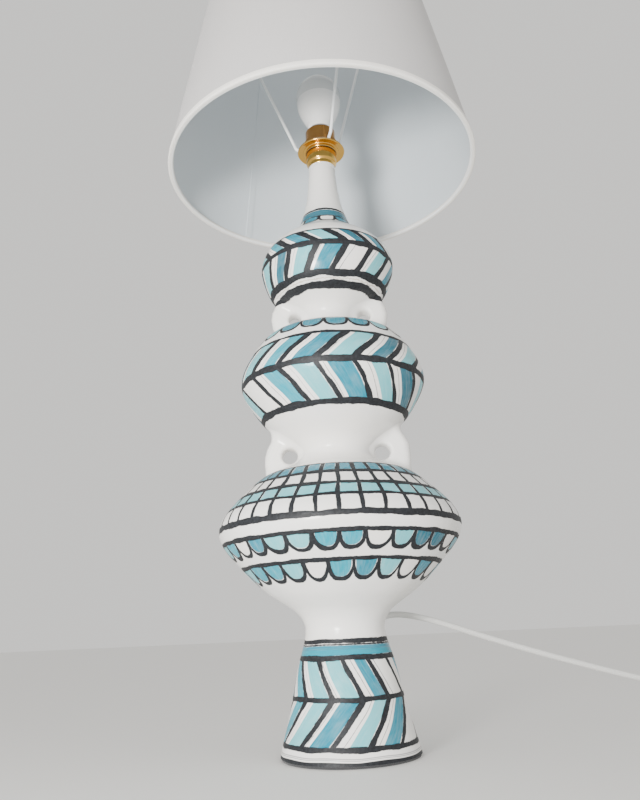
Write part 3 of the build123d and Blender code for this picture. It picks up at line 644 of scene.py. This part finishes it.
def add_lug(name, side, corners, line, material):
    """Clay lug that runs softly into the stem, with its finger hole."""
    corners = [(r * MM, z * MM) for r, z in corners]
    opening = next(o for o in frame["record"]["physics"]["openings"]
                   if o["name"] == name.replace("lug_", "lug_hole_"))
    (x0, _, z0), (x1, _, z1) = opening["box_m"]
    hole_x, hole_z = abs(x0 + x1) / 2, (z0 + z1) / 2
    # the opening's box fits inside the round hole
    hole_r = (z1 - z0) / 2 * math.sqrt(2) * HOLE_EASE
    low_z, high_z = corners[0][1] - LUG_MARGIN, corners[-1][1] + LUG_MARGIN
    xs = np.arange(LUG_FROM, corners[len(corners) // 2][0] + 2 * LUG_MARGIN, VOXEL)
    ys = np.arange(-LUG_SIDE, LUG_SIDE + VOXEL / 10, VOXEL)
    zs = np.arange(low_z, high_z, VOXEL)
    x, y, z = np.meshgrid(xs, ys, zs, indexing="ij")
    flat_x, flat_z = np.meshgrid(xs, zs, indexing="ij")
    plate = polygon_distance(flat_x, flat_z, corners)[:, None, :] + LUG_ROUND
    across = np.abs(y) - LUG_THICK / 2 + LUG_ROUND
    lug = np.minimum(np.maximum(plate, across), 0) - LUG_ROUND
    lug = lug + np.hypot(np.maximum(plate, 0), np.maximum(across, 0))
    outline = [(r, h) for r, h in line if low_z - 0.01 < h < high_z + 0.01]
    ring = [(0.0, outline[0][1])] + outline[::2] + [(0.0, outline[-1][1])]
    reach = np.arange(0.0, 0.10, VOXEL / 2)
    table = polygon_distance(*np.meshgrid(reach, zs, indexing="ij"), ring)
    radius = np.clip(np.hypot(x, y) / (VOXEL / 2), 0, len(reach) - 2)
    step = radius.astype(int)
    rows = np.broadcast_to(np.arange(len(zs)), step.shape)
    stem = table[step, rows] * (1 - radius + step) + table[step + 1, rows] * (radius - step)
    solid = smooth_least(lug, stem + 0.0003, LUG_BLEND)
    hole = np.hypot(x - hole_x, z - hole_z) - hole_r - y ** 2 * HOLE_FLARE
    solid = -smooth_least(-solid, hole, HOLE_LIP)
    solid = np.maximum(solid, -LUG_SINK - stem)
    solid = np.maximum(solid, lug - LUG_SPREAD)
    return surface_of(name, solid, (xs[0], ys[0], zs[0]), side, material)


def surface_of(name, solid, origin, side, material):
    """Piece whose skin is where the distance field is zero, mirrored when side is -1."""
    grid = openvdb.FloatGrid(1.0)
    grid.copyFromArray((np.clip(solid / VOXEL, -3, 3)).astype(np.float32))
    points, triangles, quads = grid.convertToPolygons(isovalue=0.0, adaptivity=0.0)
    points = points * VOXEL + np.array(origin)
    points[:, 0] *= side
    faces = [tuple(int(v) for v in face) for group in (quads, triangles) for face in group]
    return finish_mesh(name, points, faces, [material], "root", sharp=70.0)


def add_lugs(line, plain, banded):
    """Two plain lugs over the lower bulb, and two under the upper bulb that carry its black line."""
    lower = ("lower", LOWER_LUG_RIGHT, LOWER_LUG_LEFT, plain)
    upper = ("upper", UPPER_LUG, UPPER_LUG, banded)
    for level, right, left, material in (lower, upper):
        for side, word, corners in ((1, "right", right), (-1, "left", left)):
            name = f"{level}_lug_{word}"
            lug = add_lug(name, side, corners, line, material)
            lug.name = f"{name}_clay"
            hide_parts(name)


# ---------------------------------------------------------------- lead
CORD_D = 0.0055
LEAD = [
    (18.55, 32.13, 92.28), (28.55, 49.45, 101.61),
    (47.0, 67.0, 106.0), (78.0, 77.0, 99.5), (122.0, 86.0, 84.0), (172.0, 91.5, 67.5),
    (222.0, 95.0, 52.5), (270.0, 98.5, 39.0), (316.0, 100.0, 27.5), (356.0, 101.5, 18.0),
    (387.0, 101.0, 12.0), (404.0, 101.0, 10.5),
]
LINK = [(464.0, 101.0, 10.5), (480.0, 99.5, 9.9), (494.0, 91.5, 9.1), (503.5, 77.0, 8.5),
        (508.2, 61.0, 8.1), (508.7, 47.0, 7.9)]
TAIL = [(514.2, 31.0, 2.75), (513.6, 20.0, 3.4), (509.6, 8.0, 5.5), (506.3, -2.0, 6.85),
        (506.0, -10.0, 6.85)]
COIL_CENTRE = (473.0, 38.0)
COIL_ROWS = (24.7, 30.2, 35.7)
COIL_LEVELS = (7.9, 2.75)
LEAVING_R = 41.2
TURN_POINTS = 20
SHIFT_POINTS = 5            # over how many points a turn moves to the next row


def coil_points():
    """Clockwise turns: the upper layer inwards, the lower layer outwards, and off to the plug."""
    rows = [(r, COIL_LEVELS[0]) for r in COIL_ROWS[::-1]] + [(r, COIL_LEVELS[1]) for r in COIL_ROWS]
    turns = len(rows)
    rows.append((LEAVING_R, COIL_LEVELS[1]))
    # the curve touches the middle of each side of this polygon, so its corners lie further out
    widen = 1.0 / math.cos(math.pi / TURN_POINTS)
    points = []
    for k in range(TURN_POINTS * turns):
        turn, step = divmod(k, TURN_POINTS)
        share = max(0.0, (step + 0.5 - TURN_POINTS + SHIFT_POINTS) / SHIFT_POINTS)
        share = share * share * (3 - 2 * share)
        radius = (rows[turn][0] * (1 - share) + rows[turn + 1][0] * share) * widen
        height = rows[turn][1] * (1 - share) + rows[turn + 1][1] * share
        angle = -math.tau * (k + 0.5) / TURN_POINTS
        points.append((COIL_CENTRE[0] + radius * math.cos(angle),
                       COIL_CENTRE[1] + radius * math.sin(angle), height))
    return points


def add_cord(material):
    """The whole lead on one smooth line: out of the lamp, through the switch, coiled, to the plug."""
    route = [Vector(p) * MM for p in LEAD + LINK + coil_points() + TAIL]
    curve = bpy.data.curves.new("mains_lead", "CURVE")
    curve.dimensions = "3D"
    curve.bevel_depth = CORD_D / 2
    curve.bevel_resolution = 5
    curve.resolution_u = 8
    curve.use_fill_caps = True
    spline = curve.splines.new("NURBS")
    spline.points.add(len(route) - 1)
    for point, place in zip(spline.points, route):
        point.co = (*place, 1.0)
    spline.order_u = 3
    spline.use_endpoint_u = True
    curve.materials.append(material)
    cord = bpy.data.objects.new("mains_lead", curve)
    bpy.context.scene.collection.objects.link(cord)
    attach(cord, "root")
    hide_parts("cord_lead", "cord_link", "cord_coil", "cord_tail")
    return cord, route


# ---------------------------------------------------------------- metals, plastics and cloth
def metal(name, colour, roughness, wear=0.06):
    """Metal with faint wipe marks in its shine."""
    settings = {"Base_Color": colour, "Metallic": 1.0, "Roughness": roughness}
    material, tree, shader = new_material(name, **settings)
    marks = clouds(tree, 260.0, 3.0)
    plug(tree, shader.inputs["Roughness"], marks * wear * 2.0 + (roughness - wear))
    tint = mixed(tree, clouds(tree, 90.0, 2.0), colour, tuple(c * 0.86 for c in colour))
    tree.links.new(tint, shader.inputs["Base Color"])
    add_bump(tree, shader, marks, 0.00005, 0.5)
    return material


def plastic(name, colour, roughness, grain=600.0, depth=0.00004):
    """Dull surface with a fine grain."""
    material, tree, shader = new_material(name, Base_Color=colour, Roughness=roughness)
    speckle = clouds(tree, grain, 2.0)
    plug(tree, shader.inputs["Roughness"], speckle * 0.10 + (roughness - 0.05))
    add_bump(tree, shader, speckle, depth, 0.6)
    return material


SHADE_MEAN_R = 0.128
THREAD_PAIR = 0.0007        # one thread over and one under


def turn_and_height(tree):
    """Distance round the axis at the shade's mean radius, and height, both in metres."""
    x, y, z = split_place(tree)
    return x.math("ARCTAN2", y * -1.0) * SHADE_MEAN_R, z


def shade_cloth():
    """Fine plain weave with slightly thick and thin threads."""
    plain = (0.70, 0.665, 0.64)
    material, tree, shader = new_material("shade_cloth", Base_Color=plain, Roughness=0.9)
    around, height = turn_and_height(tree)
    warp = clouds_at(tree, around * 1500.0, height * 45.0, 0.0)
    weft = clouds_at(tree, around * 45.0, height * 1500.0, 4.0)
    upright = (around * (math.tau / THREAD_PAIR)).math("SINE")
    level = (height * (math.tau / THREAD_PAIR)).math("SINE")
    weave = upright * level * 0.25 + warp * 0.6 + weft * 0.6
    share = (weave - 0.25).clamp() * 0.7 + clouds(tree, 9.0, 2.0) * 0.2
    tint = mixed(tree, share, (0.50, 0.49, 0.49), (0.60, 0.585, 0.58))
    tree.links.new(tint, shader.inputs["Base Color"])
    shader.inputs["Sheen Weight"].default_value = 0.15
    add_bump(tree, shader, weave, 0.00018, 0.8)
    return material


def shade_lining():
    """Smooth white laminate, cool in tone."""
    plain = (0.66, 0.71, 0.735)
    material, tree, shader = new_material("shade_lining", Base_Color=plain, Roughness=0.55)
    around, height = turn_and_height(tree)
    warp = clouds_at(tree, around * 900.0, height * 60.0, 0.0)
    drift = clouds(tree, 7.0, 2.0)
    tint = mixed(tree, drift * 0.6 + warp * 0.3, (0.54, 0.595, 0.635), (0.61, 0.655, 0.685))
    tree.links.new(tint, shader.inputs["Base Color"])
    add_bump(tree, shader, warp + drift * 4.0, 0.0001, 0.5)
    return material


def opal(name, colour, roughness, through):
    """Smooth milky plastic that lets a little light in."""
    material, tree, shader = new_material(name, Base_Color=colour, Roughness=roughness)
    shader.inputs["Subsurface Weight"].default_value = through
    shader.inputs["Subsurface Radius"].default_value = (0.004, 0.004, 0.004)
    haze = clouds(tree, 120.0, 2.0)
    plug(tree, shader.inputs["Roughness"], haze * 0.05 + (roughness - 0.025))
    add_bump(tree, shader, haze, 0.00002, 0.5)
    return material


def felt():
    """Dark pressed fibre."""
    plain = (0.030, 0.032, 0.034)
    material, tree, shader = new_material("felt_dark", Base_Color=plain, Roughness=0.97)
    fibre = clouds(tree, 2200.0, 4.0, rough=0.7)
    tint = mixed(tree, fibre, (0.018, 0.019, 0.020), (0.060, 0.062, 0.066))
    tree.links.new(tint, shader.inputs["Base Color"])
    shader.inputs["Sheen Weight"].default_value = 0.3
    add_bump(tree, shader, fibre, 0.0003, 0.8)
    return material


def dress(material, slot, *names):
    """Gives CAD nodes their material; the slot argument is not used."""
    for name in names:
        piece = NODES[name]
        piece.data.materials.clear()
        piece.data.materials.append(material)
        for face in piece.data.polygons:
            face.material_index = 0


# ---------------------------------------------------------------- lampholder and bulb
SKIRT_R = 15.0
SKIRT_NECK_R = 13.0
SKIRT_BORE_R = 5.2
SKIRT_TALL = 16.9
FLANGE_BORE_R = 14.6
FLANGE_T = 3.5
FLANGE_RIM_R = 22.6         # to the middle of the rolled rim
FLANGE_ROLL_R = 0.9
JOINT_R = 15.05
JOINT_WIRE_R = 0.3
SPRING_WIRE_R = 0.0002
SPRING_TURNS = 4
SPRING_STEPS = 24           # rings of points in one turn
SPRING_SIDES = 8
BULB_NECK_R = 0.0124
BULB_SWELL = 0.0098
BULB_WALL = 0.0012
BULB_IN_CAP = 0.0055
DOME_R = 0.0225
DOME_WALL = 0.0009


def mm_line(*points):
    """Profile in metres from points in mm."""
    return [(r * MM, z * MM) for r, z in points]


def add_lampholder(brass, dark):
    """Brass skirt, the flange with a rolled rim under the shade, and the dark line between them."""
    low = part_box("holder_skirt")[0].z / MM
    neck, wide, bore = SKIRT_NECK_R, SKIRT_R, SKIRT_BORE_R
    skirt = mm_line((bore, low), (neck - 1.0, low), (neck - 0.3, low + 0.3), (neck, low + 1.2))
    skirt += mm_line((neck, low + 3.2), (neck + 0.2, low + 4.2), (wide - 0.6, low + 5.0))
    skirt += mm_line((wide - 0.1, low + 5.8), (wide, low + 6.6), (wide, low + 15.2))
    skirt += mm_line((wide - 0.2, low + 16.1), (wide - 0.7, low + 16.8), (wide - 1.1, low + SKIRT_TALL))
    skirt += mm_line((wide - 1.1, low + 6.6), (neck - 0.4, low + 5.5), (bore, low + 5.5))
    piece = lathe("holder_skirt_shell", skirt, [brass], "root", 128, sharp=60.0)
    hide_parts("holder_skirt")
    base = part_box("holder_body")[0].z / MM
    bore, rim = FLANGE_BORE_R, FLANGE_RIM_R
    collar = mm_line((bore, base + 0.1), (bore + 0.7, base + 0.2), (bore + 1.0, base + 0.7))
    collar += mm_line((bore + 1.1, base + 1.2), (bore + 3.0, base + 1.3), (bore + 3.4, base + 1.5))
    collar += mm_line((bore + 3.5, base + 1.9), (rim - 1.5, base + 1.95))
    collar += arc(rim * MM, (base + 2.55) * MM, FLANGE_ROLL_R * MM, -110, 70, 12)
    collar += mm_line((rim - 0.6, base + FLANGE_T), (bore, base + FLANGE_T))
    piece = lathe("holder_flange", collar, [brass], "root", 160, sharp=50.0)
    groove = arc(JOINT_R * MM, (base - 0.05) * MM, JOINT_WIRE_R * MM, -90, 250, 14)
    piece = lathe("holder_joint", groove, [dark], "root", 128)


def add_contact_spring(name, steel):
    """Coil under one contact plunger, made at the length of its CAD node; this script does not shorten
    it.
    """
    low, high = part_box(name)
    wire, sides, count = SPRING_WIRE_R, SPRING_SIDES, SPRING_TURNS * SPRING_STEPS
    centre = (low + high) / 2
    reach = (high.x - low.x) / 2 - wire
    points, faces = [], []
    for k in range(count + 1):
        share = k / count
        angle = math.tau * SPRING_TURNS * share
        out = Vector((math.cos(angle), math.sin(angle), 0.0))
        spot = Vector((centre.x, centre.y, low.z + wire + share * (high.z - low.z - 2 * wire)))
        for side in range(sides):
            around = math.tau * side / sides
            rise = Vector((0.0, 0.0, wire * math.sin(around)))
            points.append(spot + out * (reach + wire * math.cos(around)) + rise)
    for k in range(count):
        for side in range(sides):
            a, b = k * sides + side, k * sides + (side + 1) % sides
            faces.append((a, b, b + sides, a + sides))
    faces.append(tuple(range(sides)))
    faces.append(tuple(range(count * sides, (count + 1) * sides)))
    piece = finish_mesh(f"{name}_coil", points, faces, [steel], "root", 80.0)
    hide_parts(name)
    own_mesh(piece)


def add_bulb(shell, dome, cap):
    """Bulb with a white body that swells from its cap, and a milky dome."""
    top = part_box("bulb_shell")[1].z
    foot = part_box("bulb_cap")[1].z
    low = foot - BULB_IN_CAP
    outer = [(0.0114, low), (0.0117, low + 0.0008), (BULB_NECK_R - 0.0002, foot - 0.001)]
    steps = 14
    for k in range(steps + 1):
        share = k / steps
        swell = BULB_SWELL * math.sin(share * math.pi / 2) ** 1.05
        outer.append((BULB_NECK_R + swell, foot + (top - foot) * share * 0.97))
    outer += [(0.0223, top - 0.0006), (0.0222, top - 0.0001), (0.0216, top)]
    inner = [(r - BULB_WALL, z) for r, z in outer[::-1][2:]]
    piece = lathe("bulb_body_shell", outer + inner, [shell], "bulb", 128, sharp=60.0)
    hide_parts("bulb_shell")
    low, high = (v.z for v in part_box("bulb_dome"))
    centre = high - DOME_R
    start = math.degrees(math.asin((low + 0.0002 - centre) / DOME_R))
    rim = [(DOME_R - 0.0011, low), (DOME_R - 0.0008, low + 0.0001)]
    outer = arc(0.0, centre, DOME_R, start, 89.5, 40)
    inner = arc(0.0, centre, DOME_R - DOME_WALL, 89.5, start, 24)
    piece = lathe("bulb_glow_dome", rim + outer + inner, [dome], "bulb", 128, sharp=70.0)
    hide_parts("bulb_dome")
    dress(cap, "cap_metal", "bulb_cap")


# ---------------------------------------------------------------- shade
SEAM_AT = 216.8             # degrees round from the front
SEAM_WIDE = 2.9
SEAM_STEP = 0.0010
COVER_T = 0.0009
COVER_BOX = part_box("shade_cover")
COVER_STEPS, COVER_ROWS = 240, 48
COVER_WAVE = 0.00035
SHADE_TOP_R = 0.105
SHADE_FOOT_R = 0.150
SHADE_TALL = 0.235
TAPE_PLEAT = 0.00012
# the rolled tape: (out from the cover, in from its edge), in mm
TAPE_SHAPE = ((0.35, 5.9), (0.60, 5.4), (0.66, 4.6), (0.66, 1.6), (0.50, 0.7), (-0.1, 0.15),
              (-1.0, -0.05), (-2.6, -0.05), (-3.7, 0.5), (-4.3, 1.6), (-4.2, 2.8), (-3.3, 3.7),
              (-2.2, 4.1), (-1.6, 4.7), (-1.5, 5.5), (-1.1, 5.9))


def shade_radius(height):
    """Outer radius of the cover, from its CAD box and its top radius."""
    low, high = COVER_BOX
    share = (height - low.z) / (high.z - low.z)
    return high.x + (SHADE_TOP_R - high.x) * share


def add_cover(cloth, lining):
    """The cone of cloth on its laminate, with the overlap of its seam at the back."""
    low, high = (v.z for v in COVER_BOX)
    angles = [360.0 * k / COVER_STEPS for k in range(COVER_STEPS)]
    start, end = SEAM_AT - SEAM_WIDE / 2, SEAM_AT + SEAM_WIDE / 2
    angles = [a for a in angles if not start - 1.0 < a < end + 1.0]
    rise, clear, under_tape = 0.06, 0.9, 0.0003
    seam = [(start - clear, 0), (start - rise, 0), (start + rise, 1), (SEAM_AT, 1),
            (end - rise, 1), (end + rise, 0), (end + clear, 0)]
    ring = sorted([(a, 0) for a in angles] + seam)
    heights = np.linspace(low + under_tape, high - under_tape, COVER_ROWS)
    points, faces = [], []
    for side in (0, 1):
        for z in heights:
            for angle, raised in ring:
                a = math.radians(angle)
                place = Vector((math.sin(a) * 2.2, math.cos(a) * 2.2, z * 9.0))
                reach = shade_radius(z) + noise.noise(place) * COVER_WAVE - side * COVER_T
                reach += raised * SEAM_STEP * (0.35 if side == 0 else -0.65)
                points.append((reach * math.sin(a), -reach * math.cos(a), z))
    count, rows = len(ring), len(heights)
    flip = count * rows
    for row in range(rows - 1):
        for k in range(count):
            a, b = row * count + k, row * count + (k + 1) % count
            faces.append((a, b, b + count, a + count))
            faces.append((flip + b, flip + a, flip + a + count, flip + b + count))
    for row in (0, rows - 1):
        for k in range(count):
            a, b = row * count + k, row * count + (k + 1) % count
            faces.append((a, b, flip + b, flip + a))
    piece = finish_mesh("shade_cone", points, faces, [cloth, lining], "shade", 30.0)
    for face in piece.data.polygons:
        outward = Vector((face.center.x, face.center.y, 0.0)).dot(face.normal)
        face.material_index = 0 if outward > 0.0 else 1
    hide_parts("shade_cover")
    return piece


def add_edge_tape(name, node, tape, at_foot):
    """Narrow tape rolled over one edge of the cover and its wire hoop."""
    low, high = (v.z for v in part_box(node))
    edge, sign = (low, 1.0) if at_foot else (high, -1.0)
    side = shade_radius(edge)
    lean = (SHADE_TOP_R - SHADE_FOOT_R) / SHADE_TALL * sign
    profile = [(side + r * MM + lean * h * MM, edge + sign * h * MM) for r, h in TAPE_SHAPE]

    def ruck(angle, radius, height):
        place = Vector((math.sin(angle) * 60.0, math.cos(angle) * 60.0, height * 500.0))
        return noise.noise(place) * TAPE_PLEAT

    piece = lathe(name, profile, [tape], "shade", 300, warp=ruck, sharp=60.0)
    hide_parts(node)
    return piece


# ---------------------------------------------------------------- plug
RIBS = 7
RELIEF_LONG = 0.022
RELIEF_THIN, RELIEF_WIDE = 0.0036, 0.0052
RIB_DEPTH = 0.0006
CORD_HOLE_R = 0.0029
PIN_R = 0.0020
PIN_TIP = 0.0015
GUARD_R = 0.00206
NEAR_AXIS = 0.0001


def pointing_front(x, y, z):
    """Placement that lays a turned piece along -Y from a point."""
    return Matrix.Translation((x, y, z)) @ Matrix.Rotation(math.pi / 2, 4, "X")


def add_plug(body, nickel):
    """Ribbed strain relief, and round pins with sleeved roots, pointing along -Y."""
    low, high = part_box("plug_sleeve")
    at_cord = pointing_front((low.x + high.x) / 2, high.y, (low.z + high.z) / 2)
    line = [(CORD_HOLE_R, 0.0)]
    for k in range(RIBS):
        share = k / RIBS
        at = RELIEF_LONG * share
        reach = RELIEF_THIN + (RELIEF_WIDE - RELIEF_THIN) * share
        line += [(reach, at + 0.0001), (reach, at + 0.0019)]
        line += [(reach - RIB_DEPTH, at + 0.0021), (reach - RIB_DEPTH, at + 0.0030)]
    line += [(RELIEF_WIDE, RELIEF_LONG), (CORD_HOLE_R, RELIEF_LONG)]
    piece = lathe("plug_sleeve_ribs", line, [body], "root", 64, place=at_cord, sharp=35.0)
    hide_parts("plug_sleeve")
    low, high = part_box("plug_pins")
    reach = high.y - low.y
    parts = [piece]
    for side, x in (("left", low.x + PIN_R), ("right", high.x - PIN_R)):
        root = pointing_front(x, high.y, (low.z + high.z) / 2)
        line = [(NEAR_AXIS, 0.0), (PIN_R, 0.0), (PIN_R, reach - PIN_TIP)]
        line += arc(PIN_R - PIN_TIP, reach - PIN_TIP, PIN_TIP, 0, 85, 6) + [(NEAR_AXIS, reach)]
        pin = lathe(f"plug_pin_{side}_rod", line, [nickel], "root", 40, place=root, sharp=60.0)
        guard = [(0.00195, 0.0), (GUARD_R, 0.0), (GUARD_R, reach * 0.50), (0.00195, reach * 0.52)]
        guard = lathe(f"plug_pin_{side}_guard", guard, [body], "root", 40, place=root, sharp=60.0)
        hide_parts("plug_pins")
        parts += [pin, guard]
    return parts


# ---------------------------------------------------------------- build
brass = metal("brass_polished", (0.80, 0.47, 0.105), 0.15)
# darker, redder copy of the polished brass: painted shade on the holder body and shade ring, which sit
# under the shade
shaded_brass = metal("brass_coppery", (0.60, 0.29, 0.085), 0.19)
steel = metal("steel_zinc", (0.62, 0.62, 0.60), 0.34)
nickel = metal("pin_nickel", (0.72, 0.70, 0.64), 0.22)
cap_metal = metal("cap_drawn", (0.74, 0.74, 0.72), 0.30)
white_pvc = plastic("lead_pvc", (0.64, 0.64, 0.62), 0.38)
white_case = plastic("switch_case", (0.80, 0.80, 0.78), 0.30)
wire_coat = plastic("wire_coat", (0.88, 0.89, 0.89), 0.32)
phenolic = plastic("core_phenolic", (0.020, 0.017, 0.015), 0.55)
joint_dark = plastic("joint_shadow", (0.05, 0.03, 0.012), 0.7)
bulb_white = opal("bulb_body_white", (0.90, 0.895, 0.885), 0.26, 0.05)
bulb_opal = opal("bulb_opal", (0.68, 0.69, 0.69), 0.20, 0.10)
tape_cloth = plastic("tape_cloth", (0.86, 0.84, 0.80), 0.85, grain=1800.0, depth=0.0002)

add_camera()
add_world()
add_lamp("key", place=(-0.38, -0.90, 0.12), target=(0.0, 0.0, 0.36), size=0.24, power=19.0,
         colour=(1.0, 0.985, 0.96))
add_lamp("fill", place=(1.6, -1.2, 0.7), target=(0.0, 0.0, 0.4), size=1.6, power=4.0)
floor_corners = [(-6, -6, 0), (6, -6, 0), (6, 6, 0), (-6, 6, 0)]
floor_pale = new_material("floor_pale", Base_Color=(0.84, 0.83, 0.81), Roughness=0.6)[0]
floor = finish_mesh("floor", floor_corners, [(0, 1, 2, 3)], [floor_pale], None)
stem_line = softened(outer_line())
paintings = (paint_foot, paint_lower_bulb, paint_middle_bulb, paint_upper_bulb, paint_collar)
add_ceramic(stem_line, [painted_material(f"glaze_{k}", paint) for k, paint in enumerate(paintings)])
add_lugs(stem_line, plain=painted_material("glaze_plain", None),
         banded=painted_material("glaze_lug", paint_upper_lug))
dress(felt(), "felt", "base_felt")
# the holder body and shade ring take the copy of the brass with painted shade
dress(shaded_brass, "brass", "holder_body", "shade_ring")
dress(brass, "brass", "lock_nut", "stem_tube", "contact_plunger_back",
      "contact_plunger_front", "bulb_contacts")
dress(steel, "zinc_steel", "clamp_washer", "clamp_nut", "terminal_screws", "switch_screws")
add_contact_spring("contact_spring_back", steel)
add_contact_spring("contact_spring_front", steel)
dress(phenolic, "phenolic", "holder_core", "core_sleeve", "bulb_cap_disc")
dress(wire_coat, "white_wire", "carrier_ring", "carrier_arms", "shade_bottom_hoop",
      "shade_top_hoop")
dress(white_pvc, "cord_pvc", "inner_cord", "cord_grommet", "plug_body")
dress(white_case, "switch_plastic", "switch_base", "switch_cover", "switch_rocker",
      "rocker_cradle", "neck_cap")
dress(bulb_white, "bulb_body", "light_board")
add_lampholder(brass, joint_dark)
add_bulb(bulb_white, bulb_opal, cap_metal)
cover = add_cover(shade_cloth(), shade_lining())
tapes = [add_edge_tape("tape_foot", "shade_bottom_tape", tape_cloth, True),
         add_edge_tape("tape_head", "shade_top_tape", tape_cloth, False)]
plug_parts = add_plug(white_pvc, nickel)
cord, route = add_cord(white_pvc)
on_lead = [NODES[name] for name in ("plug_body", "switch_base", "switch_cover", "switch_rocker",
                                    "rocker_cradle", "switch_screws")]
plug_parts + on_lead
